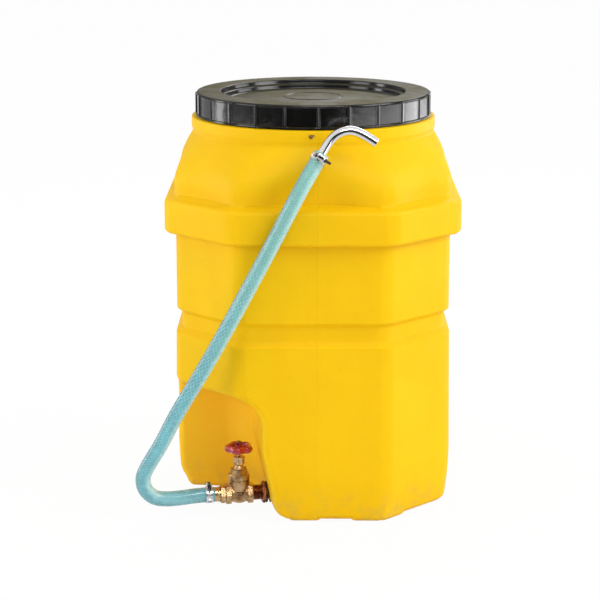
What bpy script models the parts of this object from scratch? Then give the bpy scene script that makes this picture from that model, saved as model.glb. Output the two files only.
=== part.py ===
"""Free-standing water tank: a moulded tank with a screw lid, a gate valve in a recess and a filling hose."""

import math

import bmesh
import bpy
from mathutils import Matrix, Vector, geometry

# Fits and roundness
GAP = 0.0003  # between pieces that touch
TURNING_GAP = 0.0004  # around a shaft that turns
SMALL_ROUND = 20  # sides of a pipe-sized round piece
LARGE_ROUND = 48  # sides of the neck and the lid
CORNER_STEPS = 3  # straight steps around one rounded corner of the tank

# Tank body: a square with cut corners
BODY_WIDTH = 0.469
CORNER_CUT = 0.109
CORNER_RADIUS = 0.038
WALL = 0.004
BASE_RADIUS = 0.011
BASE_TAPER = 0.003
BASE_TAPER_HEIGHT = 0.070
BASE_STEPS = 3

# Feet: two under the front and two under the back, flush with the face above
FOOT_HEIGHT = 0.003
FOOT_WIDTH = 0.062
FOOT_DEPTH = 0.050
FOOT_FROM_MIDDLE = 0.093
FOOT_INSET = 0.0015
FOOT_RADIUS = 0.003

# Groove around the body, and belt above it
GROOVE_LOW = 0.308
GROOVE_HEIGHT = 0.043
GROOVE_DEPTH = 0.0085
UPPER_PANEL_HEIGHT = 0.131  # from the groove to the belt
BELT_HEIGHT = 0.060
BELT_OUT = 0.0185
BELT_RADIUS = 0.008
BELT_DRAFT = 0.001  # rise of its underside
LEDGE_RISE = 0.004  # above and below the belt's top, where its edge is cut

# Shoulder, collar and neck
SHOULDER_HEIGHT = 0.105  # from the belt's top to the collar
SHOULDER_STRAIGHT = 0.040  # its upright part, above the belt
SHOULDER_BULGE = 1.6  # above 1, the inset comes late
SHOULDER_ROUNDING = 1.5  # above 1, the corners round off late
SHOULDER_ROUNDNESS = 0.95  # 1 would be a true circle at the top
SHOULDER_STEPS = 5
COLLAR_LEDGE = 0.0085  # past the lid's skirt
COLLAR_OVERHANG = 0.0015  # past the shoulder
COLLAR_HEIGHT = 0.0185
COLLAR_FLARE = 0.004
NECK_BORE_RADIUS = 0.186
NECK_WALL = 0.005
NECK_HEIGHT = 0.0345  # above the collar
THREAD_OUT = 0.0035
THREAD_HEIGHT = 0.005
THREAD_DOWN = 0.010  # from the neck's lip to the thread

# Screw lid
LID_TOP_WALL = 0.004
LID_SKIRT_WALL = 0.005
LID_THREAD_ROOM = 0.004  # between the neck's thread and the skirt
LID_COLLAR_GAP = 0.001
LID_EDGE = 0.003
RIB_COUNT = 24
RIB_OUT = 0.0015
RIB_WIDTH = 0.003
RIB_FROM_EDGE = 0.0045
RIB_TURN = math.radians(2)  # the front rib stands this far past the middle
DISH_ROOM = 0.025  # from the neck's bore to the dish
DISH_STEP = 0.004
DISH_DEPTH = 0.017
DISH_CROWN = 0.007
DISH_RING_RADIUS = 0.050
DISH_RING_WIDTH = 0.004
DISH_RING_HEIGHT = 0.001
LID_GASKET_THICK = 0.0024
LID_GASKET_WIDTH = 0.010

# Recess for the valve, at the front left corner
OUTLET_TURN = math.radians(10)  # the outlet's axis leaves the X axis by this much
OUTLET_PLACE = Vector((-0.0795, -0.159, 0.030))  # where the axis meets the recess wall
RECESS_BACK = -0.065
RECESS_HEIGHT = 0.218
RECESS_RADIUS = 0.055
RECESS_STEPS = 6

# Outlet pipe through the recess wall, with its nuts and washers
PIPE_BORE_RADIUS = 0.0095
PIPE_WALL = 0.0037
PIPE_INSIDE = 0.006  # past the inner nut
WASHER_THICK = 0.002
WASHER_WIDTH = 0.005
LOCK_NUT_WALL = 0.0035
LOCK_NUT_THICK = 0.007

# Gate valve, centred on the outlet's axis
VALVE_DISTANCE = 0.049  # from the recess wall to the stem
VALVE_HALF_LENGTH = 0.024
PORT_DEPTH = 0.012
PORT_WALL = 0.0025
PORT_HEX_LENGTH = 0.010
VALVE_TUBE_WALL = 0.0015
VALVE_SOLE = 0.0005  # below the tube
VALVE_FOOT_RADIUS = 0.009
VALVE_BELLY_DROP = 0.0075
VALVE_BELLY_RADIUS = 0.015
VALVE_WAIST_HEIGHT = 0.0105  # heights on the valve are above the outlet's axis
VALVE_WAIST_RADIUS = 0.0165
VALVE_FLARE_HEIGHT = 0.017
VALVE_RIM_WALL = 0.003  # around the bonnet's spigot
VALVE_TOP = 0.026
SPIGOT_WALL = 0.0017
SPIGOT_DEPTH = 0.006
CHAMBER_ROOM = 0.0026  # around the open wedge
LIFT_ROOM = 0.002  # above the open wedge
BONNET_SHELF = 0.0034  # above the chamber
BONNET_HEX_HEIGHT = 0.0085
BONNET_HEX_OUT = 0.002
BONNET_CONE_OUT = 0.0047
BONNET_CONE_HEIGHT = 0.006
BONNET_NECK_WALL = 0.0016
BONNET_NECK_HEIGHT = 0.008

# Stem, wedge and packing
STEM_RADIUS = 0.003
STEM_FOOT = 0.0095
STEM_COLLAR_THICK = 0.0017
WEDGE_SEAT = 0.0014  # past the bore that it closes
WEDGE_CHEEK = 0.0001  # past its lug
WEDGE_LIFT = 0.021
LUG_TOP = 0.014
LUG_WALL = 0.0015
LUG_ROOM = 0.0006
PACKING_THICK = 0.005
PACKING_WIDTH = 0.0022
GLAND_RING_LENGTH = 0.006
GLAND_PROUD = 0.0016  # from the bonnet's top to its flange
GLAND_FLANGE_THICK = 0.002
GLAND_NUT_WALL = 0.0022
GLAND_NUT_ROOF = 0.0035
GLAND_NUT_GRIP = 0.006  # how far it comes down over the bonnet's neck

# Handwheel
WHEEL_RADIUS = 0.025
WHEEL_RIM_RADIUS = 0.004
WHEEL_RIM_SIDES = 6
WHEEL_LOBES = 5
WHEEL_LOBE_DEPTH = 0.0012
WHEEL_LOBE_STEPS = 6
WHEEL_HUB_WALL = 0.0035
WHEEL_HUB_HEIGHT = 0.012
WHEEL_SPOKE_WIDTH = 0.005
WHEEL_SPOKE_THICK = 0.004
WHEEL_CLEARANCE = 0.009  # from the gland nut to the hub
WHEEL_NUT_WALL = 0.0025
WHEEL_NUT_THICK = 0.005
STEM_PROUD = 0.002  # past the wheel's nut

# Hose nipple
NIPPLE_HEX_OUT = 0.0008  # past its thread
NIPPLE_HEX_LENGTH = 0.012
NIPPLE_WALL = 0.003
NIPPLE_NECK_LENGTH = 0.007

# Hose, from the nipple to the spout
HOSE_DIAMETER = 0.026
HOSE_ROUTE = [
    (-0.2080, -0.1840, 0.0298),
    (-0.2300, -0.1920, 0.0293),
    (-0.2520, -0.2003, 0.0305),
    (-0.2710, -0.2070, 0.0356),
    (-0.2849, -0.2120, 0.0495),
    (-0.2900, -0.2145, 0.0685),
    (-0.2849, -0.2170, 0.0875),
    (-0.2580, -0.2240, 0.1350),
    (-0.2295, -0.2315, 0.1910),
    (-0.1785, -0.2455, 0.2800),
    (-0.1320, -0.2570, 0.3660),
    (-0.0885, -0.2640, 0.4490),
    (-0.0575, -0.2668, 0.5090),
    (-0.0340, -0.2660, 0.5550),
    (-0.0110, -0.2590, 0.5970),
    (0.0140, -0.2450, 0.6370),
]
HOSE_STEPS = 2  # points of its tube from one point of the route to the next
HOSE_ROUNDNESS = 3  # steps of its bevel in a quarter turn

# Hose clamps, with a worm screw and a thumb key
BAND_WIDTH = 0.012
BAND_THICK = 0.0009
BAND_SIDES = 32
BAND_FROM_END = 0.009  # from the hose's end to the band's middle
BAND_GAP = 0.0004
HOUSING_LENGTH = 0.014
HOUSING_WIDTH = 0.009
HOUSING_WALL = 0.0012
CLAMP_SCREW_RADIUS = 0.0026
CLAMP_HEAD_RADIUS = 0.0036
CLAMP_HEAD_THICK = 0.0025
KEY_SPAN = 0.012
KEY_THICK = 0.003
KEY_LENGTH = 0.009
KEY_ROOT = 0.0005  # of the key, inside the screw's head
KEY_STALK = 0.003  # from the housing to the key, which clears the band as it turns

# Spout
SPOUT_RADIUS = 0.0083
SPOUT_WALL = 0.0012
SPOUT_ROUTE = [  # from the hose's end
    (0.0135, 0.0065, 0.0200),
    (0.0275, 0.0080, 0.0320),
    (0.0460, 0.0085, 0.0370),
    (0.0640, 0.0080, 0.0320),
    (0.0890, 0.0065, 0.0170),
]
SPOUT_LEAD = 0.010  # the straight start, in line with the hose
SPOUT_STEPS = 2
SPOUT_SIDES = 12

# Hook on the collar's front
HOOK_TURN = math.radians(-91)
HOOK_WIRE_RADIUS = 0.0011
HOOK_PLATE_RADIUS = 0.0035
HOOK_PLATE_THICK = 0.0012
HOOK_REACH = 0.006
HOOK_BEND = 0.002
HOOK_RISE = 0.006
HOOK_SIDES = 8

# Sizes and heights that follow for the tank
BODY_HALF = BODY_WIDTH / 2
GROOVE_TOP = GROOVE_LOW + GROOVE_HEIGHT
BELT_LOW = GROOVE_TOP + UPPER_PANEL_HEIGHT
BELT_TOP = BELT_LOW + BELT_HEIGHT
SHOULDER_TOP = BELT_TOP + SHOULDER_HEIGHT
COLLAR_LOW = SHOULDER_TOP + COLLAR_FLARE
COLLAR_TOP = COLLAR_LOW + COLLAR_HEIGHT
NECK_RADIUS = NECK_BORE_RADIUS + NECK_WALL
NECK_TOP = COLLAR_TOP + NECK_HEIGHT
THREAD_RADIUS = NECK_RADIUS + THREAD_OUT
GASKET_LOW = NECK_TOP + GAP
LID_UNDER = GASKET_LOW + LID_GASKET_THICK + GAP
LID_TOP = LID_UNDER + LID_TOP_WALL
LID_LOW = COLLAR_TOP + LID_COLLAR_GAP
DISH_FLOOR = LID_TOP - DISH_DEPTH
DISH_RADIUS = NECK_BORE_RADIUS - DISH_ROOM
SKIRT_BORE = THREAD_RADIUS + LID_THREAD_ROOM
SKIRT_RADIUS = SKIRT_BORE + LID_SKIRT_WALL
COLLAR_RADIUS = SKIRT_RADIUS + COLLAR_LEDGE
SHOULDER_INSET = BODY_HALF - COLLAR_RADIUS + COLLAR_OVERHANG

# Sizes and heights that follow for the outlet and its valve
PIPE_RADIUS = PIPE_BORE_RADIUS + PIPE_WALL
PORT_RADIUS = PIPE_RADIUS + GAP
WASHER_RADIUS = PORT_RADIUS + WASHER_WIDTH
LOCK_NUT_FLATS = 2 * (PORT_RADIUS + LOCK_NUT_WALL)
PORT_FLATS = 2 * (PORT_RADIUS + PORT_WALL)
NIPPLE_FLATS = 2 * (PIPE_RADIUS + NIPPLE_HEX_OUT)
NIPPLE_NECK_RADIUS = PIPE_BORE_RADIUS + NIPPLE_WALL
VALVE_TUBE_RADIUS = PORT_RADIUS + VALVE_TUBE_WALL
VALVE_DROP = VALVE_TUBE_RADIUS + VALVE_SOLE
VALVE_NEAR = VALVE_DISTANCE - VALVE_HALF_LENGTH
VALVE_FAR = VALVE_DISTANCE + VALVE_HALF_LENGTH
STEM_HOLE_RADIUS = STEM_RADIUS + TURNING_GAP
LUG_RADIUS = STEM_HOLE_RADIUS + LUG_WALL
LUG_BORE_RADIUS = LUG_RADIUS + LUG_ROOM
WEDGE_RADIUS = PIPE_BORE_RADIUS + WEDGE_SEAT
WEDGE_THICK = 2 * (LUG_RADIUS + WEDGE_CHEEK)
CHAMBER_RADIUS = WEDGE_RADIUS + CHAMBER_ROOM
CHAMBER_TOP = WEDGE_RADIUS + WEDGE_LIFT + LIFT_ROOM
LUG_BORE_TOP = LUG_TOP + WEDGE_LIFT + LIFT_ROOM
SPIGOT_RADIUS = CHAMBER_RADIUS + SPIGOT_WALL
VALVE_TOP_RADIUS = SPIGOT_RADIUS + VALVE_RIM_WALL
STUFFING_RADIUS = STEM_RADIUS + PACKING_WIDTH
BONNET_NECK_RADIUS = STUFFING_RADIUS + BONNET_NECK_WALL
BONNET_CONE_RADIUS = BONNET_NECK_RADIUS + BONNET_CONE_OUT
BONNET_FLATS = 2 * (BONNET_CONE_RADIUS + BONNET_HEX_OUT)
BONNET_LOW = VALVE_TOP + GAP
BONNET_HEX_LOW = CHAMBER_TOP + BONNET_SHELF
BONNET_CONE_LOW = BONNET_HEX_LOW + BONNET_HEX_HEIGHT
BONNET_NECK_LOW = BONNET_CONE_LOW + BONNET_CONE_HEIGHT
BONNET_TOP = BONNET_NECK_LOW + BONNET_NECK_HEIGHT
FLANGE_LOW = BONNET_TOP + GLAND_PROUD
GLAND_LOW = FLANGE_LOW - GLAND_RING_LENGTH
PACKING_LOW = GLAND_LOW - GAP - PACKING_THICK
STEM_COLLAR_LOW = PACKING_LOW - GAP - STEM_COLLAR_THICK
STUFFING_LOW = STEM_COLLAR_LOW - GAP
FLANGE_TOP = FLANGE_LOW + GLAND_FLANGE_THICK
GLAND_NUT_FLATS = 2 * (BONNET_NECK_RADIUS + GLAND_NUT_WALL)
GLAND_NUT_LOW = BONNET_TOP - GLAND_NUT_GRIP
GLAND_NUT_TOP = FLANGE_TOP + GAP + GLAND_NUT_ROOF
HUB_LOW = GLAND_NUT_TOP + WHEEL_CLEARANCE
HUB_TOP = HUB_LOW + WHEEL_HUB_HEIGHT
WHEEL_MIDDLE = (HUB_LOW + HUB_TOP) / 2
WHEEL_HUB_RADIUS = STEM_RADIUS + WHEEL_HUB_WALL
WHEEL_NUT_LOW = HUB_TOP + GAP
WHEEL_NUT_TOP = WHEEL_NUT_LOW + WHEEL_NUT_THICK
WHEEL_NUT_FLATS = 2 * (STEM_RADIUS + WHEEL_NUT_WALL)

# Places of the outlet, the valve and the hose
OUTLET = Matrix.Translation(OUTLET_PLACE) @ Matrix.Rotation(math.pi + OUTLET_TURN, 4, "Z")
VALVE = OUTLET @ Matrix.Translation((VALVE_DISTANCE, 0, 0))
ALONG_X = Matrix.Rotation(math.pi / 2, 4, "Y")
HOSE_RADIUS = HOSE_DIAMETER / 2
HOSE_START = VALVE_FAR + GAP + NIPPLE_HEX_LENGTH + NIPPLE_NECK_LENGTH + GAP  # from the recess wall


def clear_scene():
    for old in list(bpy.data.objects):
        bpy.data.objects.remove(old)


def finish(name, colour, roughness, metallic=0.0):
    """A plain material with the part's colour."""
    made = bpy.data.materials.new(name)
    made.use_nodes = True
    surface = made.node_tree.nodes["Principled BSDF"]
    surface.inputs["Base Color"].default_value = (*colour, 1)
    surface.inputs["Roughness"].default_value = roughness
    surface.inputs["Metallic"].default_value = metallic
    made.diffuse_color = (*colour, 1)
    return made


def placed(name, mesh, material=None, matrix=None):
    """An object made from this bmesh, with its origin where the matrix says."""
    bmesh.ops.recalc_face_normals(mesh, faces=mesh.faces)
    data = bpy.data.meshes.new(name)
    mesh.to_mesh(data)
    mesh.free()
    made = bpy.data.objects.new(name, data)
    bpy.context.scene.collection.objects.link(made)
    made.matrix_world = matrix or Matrix()
    if material:
        data.materials.append(material)
        data.shade_smooth()
        data.set_sharp_from_angle(angle=math.radians(30))
    return made


def combine(target, operation, *others):
    """Adds or cuts the other shapes, which stay as hidden guides under the target."""
    for number, other in enumerate(others):
        other.hide_render = True
        other.display_type = "WIRE"
        other.hide_set(True)
        step = target.modifiers.new(f"{operation.lower()} {number}", "BOOLEAN")
        step.operation = operation
        step.object = other


def join(target, *others):
    combine(target, "UNION", *others)


def cut(target, *others):
    combine(target, "DIFFERENCE", *others)


def turned(profile, sides=SMALL_ROUND):
    """A closed outline of (radius, height) corners, spun once around Z."""
    mesh = bmesh.new()
    corners = [mesh.verts.new((radius, 0, height)) for radius, height in profile]
    sides_of_outline = zip(corners, corners[1:] + corners[:1])
    edges = [mesh.edges.new((a, b)) for a, b in sides_of_outline if a.co.x or b.co.x]
    geometry_in = corners + edges
    bmesh.ops.spin(mesh, geom=geometry_in, axis=(0, 0, 1), angle=2 * math.pi, steps=sides, use_merge=True)
    bmesh.ops.remove_doubles(mesh, verts=mesh.verts, dist=1e-6)
    return mesh


def rod(radius, low, high, sides=SMALL_ROUND):
    return turned([(0, low), (radius, low), (radius, high), (0, high)], sides)


def ring(inner, outer, low, high, sides=SMALL_ROUND):
    return turned([(inner, low), (outer, low), (outer, high), (inner, high)], sides)


def hexagon(flats, low, high):
    """A six-sided block, this far across its flats."""
    mesh = bmesh.new()
    radius = flats / 2 / math.cos(math.pi / 6)
    middle = Matrix.Translation((0, 0, (low + high) / 2))
    bmesh.ops.create_cone(
        mesh, cap_ends=True, segments=6, radius1=radius, radius2=radius, depth=high - low, matrix=middle
    )
    return mesh


def block(low, high):
    """A box between two opposite corners."""
    mesh = bmesh.new()
    low, high = Vector(low), Vector(high)
    matrix = Matrix.Translation((low + high) / 2) @ Matrix.Diagonal((*(high - low), 1))
    bmesh.ops.create_cube(mesh, size=1, matrix=matrix)
    return mesh


def moved(mesh, matrix):
    bmesh.ops.transform(mesh, matrix=matrix, verts=mesh.verts)
    return mesh


def loft(outlines):
    """A closed skin over outlines with equal numbers of points, lowest first."""
    mesh = bmesh.new()
    rows = [[mesh.verts.new(point) for point in outline] for outline in outlines]
    for lower, upper in zip(rows, rows[1:]):
        for i in range(len(lower)):
            j = (i + 1) % len(lower)
            mesh.faces.new((lower[i], lower[j], upper[j], upper[i]))
    mesh.faces.new(rows[0][::-1])
    mesh.faces.new(rows[-1])
    bmesh.ops.triangulate(mesh, faces=mesh.faces)
    return mesh


def smooth_line(points, steps):
    """Points on a smooth curve through the given ones, with this many steps between each two."""
    points = [Vector(p) for p in points]
    line = [points[0]]
    for i in range(len(points) - 1):
        here, there = points[i], points[i + 1]
        before, after = points[max(i - 1, 0)], points[min(i + 2, len(points) - 1)]
        reach = (there - here).length / 3
        leaving = here + (there - before).normalized() * reach
        arriving = there - (after - here).normalized() * reach
        line += geometry.interpolate_bezier(here, leaving, arriving, there, steps + 1)[1:]
    return line


def tube(points, sides, outer, inner=0):
    """A bar along the points, or with an inner radius a hollow pipe."""
    mesh = bmesh.new()
    side = (points[1] - points[0]).orthogonal().normalized()
    rows = []
    for i, point in enumerate(points):
        along = (points[min(i + 1, len(points) - 1)] - points[max(i - 1, 0)]).normalized()
        side = (side - along * side.dot(along)).normalized()
        other = along.cross(side)
        turns = [2 * math.pi * k / sides for k in range(sides)]
        spokes = [side * math.cos(t) + other * math.sin(t) for t in turns]
        radii = (outer, inner) if inner else (outer,)
        rows.append([[mesh.verts.new(point + spoke * radius) for spoke in spokes] for radius in radii])
    for lower, upper in zip(rows, rows[1:]):
        for one, other in zip(lower, upper):
            bridge(mesh, one, other)
    for end in (rows[0], rows[-1]):
        if inner:
            bridge(mesh, end[0], end[1])
        else:
            mesh.faces.new(end[0])
    return mesh


def bridge(mesh, one, other):
    for i in range(len(one)):
        j = (i + 1) % len(one)
        mesh.faces.new((one[i], one[j], other[j], other[i]))


def section(half, cut_leg, radius, height):
    """The tank's outline at one height: a square with cut corners, each corner rounded."""
    distances = (half - radius, (2 * half - cut_leg) / math.sqrt(2) - radius)
    points = []
    for k in range(8):
        a, b = math.pi / 4 * k, math.pi / 4 * (k + 1)
        near, far = distances[k % 2], distances[(k + 1) % 2]
        x = (near * math.sin(b) - far * math.sin(a)) / math.sin(b - a)
        y = (far * math.cos(a) - near * math.cos(b)) / math.sin(b - a)
        for step in range(CORNER_STEPS + 1):
            turn = a + (b - a) * step / CORNER_STEPS
            points.append((x + radius * math.cos(turn), y + radius * math.sin(turn), height))
    return points


def base_levels(wall):
    """Heights and half widths up the rounded base edge and its taper."""
    floor = FOOT_HEIGHT + wall
    radius = BASE_RADIUS - wall
    foot = BODY_HALF - BASE_TAPER
    for step in range(BASE_STEPS + 1):
        turn = math.pi / 2 * step / BASE_STEPS
        yield floor + radius * (1 - math.cos(turn)), foot - radius * (1 - math.sin(turn)), 0
    yield BASE_TAPER_HEIGHT, BODY_HALF, 0


def groove_levels():
    """The third value is which way the step faces, for the wall behind it."""
    deep = BODY_HALF - GROOVE_DEPTH
    yield GROOVE_LOW, BODY_HALF, 1
    yield GROOVE_LOW + GROOVE_DEPTH, deep, 1
    yield GROOVE_TOP - GROOVE_DEPTH, deep, -1
    yield GROOVE_TOP, BODY_HALF, -1


def belt_levels():
    """The belt's rounded underside, its face and its nearly flat ledge."""
    belt = BODY_HALF + BELT_OUT
    yield BELT_LOW, BODY_HALF, -1
    for step in range(3):
        turn = math.pi / 2 * step / 2
        out = belt - BELT_RADIUS * (1 - math.sin(turn))
        yield BELT_LOW + BELT_DRAFT + BELT_RADIUS * (1 - math.cos(turn)), out, -1
    yield BELT_TOP - LEDGE_RISE, belt, 1
    yield BELT_TOP, belt - LEDGE_RISE, 1
    yield BELT_TOP + LEDGE_RISE, BODY_HALF, 1


def shoulder_levels(wall):
    """Pairs of (how far through the rounding, height), up to the collar."""
    low = BELT_TOP + SHOULDER_STRAIGHT
    for step in range(SHOULDER_STEPS + 1):
        share = step / SHOULDER_STEPS
        yield share, low + (SHOULDER_TOP - wall - low) * share


def tank_outlines(wall=0.0):
    """The tank's outlines from the floor up; a wall moves all of them inward."""
    cut_leg = CORNER_CUT - wall * (2 - math.sqrt(2))
    radius = CORNER_RADIUS - wall
    outlines = []
    for height, half, facing in [*base_levels(wall), *groove_levels(), *belt_levels()]:
        outlines.append(section(half - wall, cut_leg, radius, height - facing * wall))
    for share, height in shoulder_levels(wall):
        half = BODY_HALF - wall - SHOULDER_INSET * share**SHOULDER_BULGE
        round_leg = half * (2 - math.sqrt(2))
        leg = cut_leg + (round_leg - cut_leg) * share
        rounded = (half * SHOULDER_ROUNDNESS - radius) * share**SHOULDER_ROUNDING
        outlines.append(section(half, leg, radius + rounded, height))
    return outlines


def recess_shape(wall=0.0):
    """The space cut out around the valve; a wall makes it larger all round."""
    mesh = bmesh.new()
    facing = Vector((-math.cos(OUTLET_TURN), -math.sin(OUTLET_TURN), 0))
    along = Vector((facing.y, -facing.x, 0))
    start = OUTLET_PLACE - facing * wall
    back = RECESS_BACK + wall
    front = -BODY_WIDTH
    inner = start + along * (back - start.y) / along.y
    outer = start + along * (front - start.y) / along.y
    corners = [(inner.x, back), (outer.x, front), (-BODY_WIDTH, front), (-BODY_WIDTH, back)]
    levels = -WALL * 3, RECESS_HEIGHT + wall
    low, high = [[mesh.verts.new((x, y, z)) for x, y in corners] for z in levels]
    bridge(mesh, low, high)
    mesh.faces.new(low[::-1])
    mesh.faces.new(high)
    rounded = [(low[0], high[0]), (high[0], high[1]), (high[0], high[3])]
    edges = [mesh.edges.get(pair) for pair in rounded]
    radius = RECESS_RADIUS + wall
    bmesh.ops.bevel(mesh, geom=edges, offset=radius, segments=RECESS_STEPS, profile=0.5, affect="EDGES")
    bmesh.ops.triangulate(mesh, faces=mesh.faces)
    return mesh


def neck_shape():
    """The collar and the threaded neck, without their bore."""
    inside = COLLAR_RADIUS - 3 * COLLAR_FLARE
    thread_top = NECK_TOP - THREAD_DOWN
    thread_low = thread_top - THREAD_HEIGHT
    return turned(
        [
            (0, SHOULDER_TOP - 2 * COLLAR_FLARE),
            (inside, SHOULDER_TOP - 2 * COLLAR_FLARE),
            (COLLAR_RADIUS - 2 * COLLAR_FLARE, SHOULDER_TOP + COLLAR_FLARE / 4),
            (COLLAR_RADIUS, COLLAR_LOW),
            (COLLAR_RADIUS, COLLAR_TOP),
            (NECK_RADIUS, COLLAR_TOP),
            (NECK_RADIUS, thread_low - THREAD_OUT),
            (THREAD_RADIUS, thread_low),
            (THREAD_RADIUS, thread_top),
            (NECK_RADIUS, thread_top + THREAD_OUT),
            (NECK_RADIUS, NECK_TOP),
            (0, NECK_TOP),
        ],
        LARGE_ROUND,
    )


def foot_shape(side, along):
    """A foot under the front, side -1, or the back, side 1, with its middle this far along X."""
    middle = side * (BODY_HALF - FOOT_INSET - FOOT_DEPTH / 2)
    mesh = block(
        (along - FOOT_WIDTH / 2, middle - FOOT_DEPTH / 2, 0),
        (along + FOOT_WIDTH / 2, middle + FOOT_DEPTH / 2, BASE_TAPER_HEIGHT),
    )
    low_edges = [edge for edge in mesh.edges if max(corner.co.z for corner in edge.verts) < GAP]
    bmesh.ops.bevel(mesh, geom=low_edges, offset=FOOT_RADIUS, segments=2, profile=0.5, affect="EDGES")
    return mesh


def feet():
    """Two under the front, one of them beside the recess, and two under the back."""
    beside_recess = OUTLET_PLACE.x + FOOT_WIDTH / 2
    places = [(-1, beside_recess), (-1, FOOT_FROM_MIDDLE), (1, -FOOT_FROM_MIDDLE), (1, FOOT_FROM_MIDDLE)]
    return [placed(f"foot {side} {along:.3f}", foot_shape(side, along)) for side, along in places]


def make_tank(plastic):
    tank = placed("tank_shell", loft(tank_outlines()), plastic)
    inside = placed("tank inside", loft(tank_outlines(WALL)))
    cut(inside, placed("recess with wall", recess_shape(WALL)))
    bore = rod(NECK_BORE_RADIUS, SHOULDER_TOP - 4 * WALL, NECK_TOP + WALL, LARGE_ROUND)
    hole = moved(rod(PORT_RADIUS, -4 * WALL, 4 * WALL), ALONG_X)
    join(tank, placed("neck solid", neck_shape()), *feet())
    cut(
        tank,
        placed("recess", recess_shape()),
        placed("outlet hole", hole, matrix=OUTLET),
        placed("neck bore", bore),
        inside,
    )


def dish_height(radius):
    """The lid's floor, crowned in its middle."""
    return DISH_FLOOR + DISH_CROWN * (1 - (radius / DISH_RADIUS) ** 2)


def lid_profile():
    """The lid's outline, from the dish's middle out over the rim and back along its underside."""
    near, far = DISH_RING_RADIUS - DISH_RING_WIDTH / 2, DISH_RING_RADIUS + DISH_RING_WIDTH / 2
    between = (DISH_RING_RADIUS + DISH_RADIUS) / 2
    tier = LID_TOP - DISH_DEPTH / 2
    top = [
        (0, dish_height(0)),
        (near, dish_height(near)),
        (near, dish_height(near) + DISH_RING_HEIGHT),
        (far, dish_height(far) + DISH_RING_HEIGHT),
        (far, dish_height(far)),
        (between, dish_height(between)),
        (DISH_RADIUS - 3 * DISH_STEP, DISH_FLOOR),
        (DISH_RADIUS - 2 * DISH_STEP, DISH_FLOOR + DISH_STEP / 2),
        (DISH_RADIUS - DISH_STEP, tier),
        (DISH_RADIUS - DISH_STEP / 4, tier),
        (DISH_RADIUS, LID_TOP - DISH_STEP / 4),
        (DISH_RADIUS + DISH_STEP / 4, LID_TOP),
        (SKIRT_RADIUS - LID_EDGE, LID_TOP),
        (SKIRT_RADIUS, LID_TOP - LID_EDGE),
    ]
    under = [
        (SKIRT_RADIUS, LID_LOW),
        (SKIRT_BORE, LID_LOW),
        (SKIRT_BORE, LID_UNDER),
        (DISH_RADIUS + LID_TOP_WALL, LID_UNDER),
        (DISH_RADIUS + LID_TOP_WALL - DISH_STEP, DISH_FLOOR - LID_TOP_WALL),
        (between, dish_height(between) - LID_TOP_WALL),
        (0, dish_height(0) - LID_TOP_WALL),
    ]
    return top + under


def lid_ribs():
    """Upright ribs all round the skirt, as one guide."""
    low = (SKIRT_RADIUS - LID_SKIRT_WALL / 2, -RIB_WIDTH / 2, LID_LOW + LID_EDGE / 2)
    high = (SKIRT_RADIUS + RIB_OUT, RIB_WIDTH / 2, LID_TOP - RIB_FROM_EDGE)
    ribs = bmesh.new()
    for number in range(RIB_COUNT):
        turn = 2 * math.pi * number / RIB_COUNT - math.pi / 2 + RIB_TURN
        rib = bpy.data.meshes.new("rib")
        one = moved(block(low, high), Matrix.Rotation(turn, 4, "Z"))
        one.to_mesh(rib)
        one.free()
        ribs.from_mesh(rib)
    return placed("lid ribs", ribs)


def make_lid(plastic, rubber):
    lid = placed("screw_lid", turned(lid_profile(), LARGE_ROUND), plastic)
    join(lid, lid_ribs())
    middle = NECK_BORE_RADIUS + NECK_WALL / 2
    inner, outer = middle - LID_GASKET_WIDTH / 2, middle + LID_GASKET_WIDTH / 2
    gasket = ring(inner, outer, GASKET_LOW, GASKET_LOW + LID_GASKET_THICK, LARGE_ROUND)
    placed("lid_gasket", gasket, rubber)


def outlet_piece(name, mesh, material):
    """A piece turned around the outlet's axis; its heights are distances from the recess wall."""
    return placed(name, moved(mesh, ALONG_X), material, OUTLET)


def outlet_guide(name, mesh):
    return placed(name, moved(mesh, ALONG_X), matrix=OUTLET)


def lock_nut(name, start, end, material):
    nut = outlet_piece(name, hexagon(LOCK_NUT_FLATS, start, end), material)
    cut(nut, outlet_guide(name + " bore", rod(PORT_RADIUS, start - GAP * 10, end + GAP * 10)))


def make_outlet(bronze, rubber):
    inner_end = -WALL - GAP - WASHER_THICK - GAP
    outer_start = GAP + WASHER_THICK + GAP
    pipe_start = inner_end - LOCK_NUT_THICK - PIPE_INSIDE
    pipe_end = VALVE_NEAR + PORT_DEPTH - GAP
    outlet_piece("outlet_pipe", ring(PIPE_BORE_RADIUS, PIPE_RADIUS, pipe_start, pipe_end), bronze)
    lock_nut("outlet_inner_nut", inner_end - LOCK_NUT_THICK, inner_end, bronze)
    lock_nut("outlet_outer_nut", outer_start, outer_start + LOCK_NUT_THICK, bronze)
    for name, low in (("outlet_inner_washer", -WALL - GAP - WASHER_THICK), ("outlet_outer_washer", GAP)):
        outlet_piece(name, ring(PORT_RADIUS, WASHER_RADIUS, low, low + WASHER_THICK), rubber)


def wedge_shape(grow):
    """The gate's outline, a disc with straight sides above it; growing it gives its pocket."""
    radius, half = WEDGE_RADIUS + grow, WEDGE_THICK / 2 + grow
    return moved(rod(radius, -half, half), ALONG_X), radius, half


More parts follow.
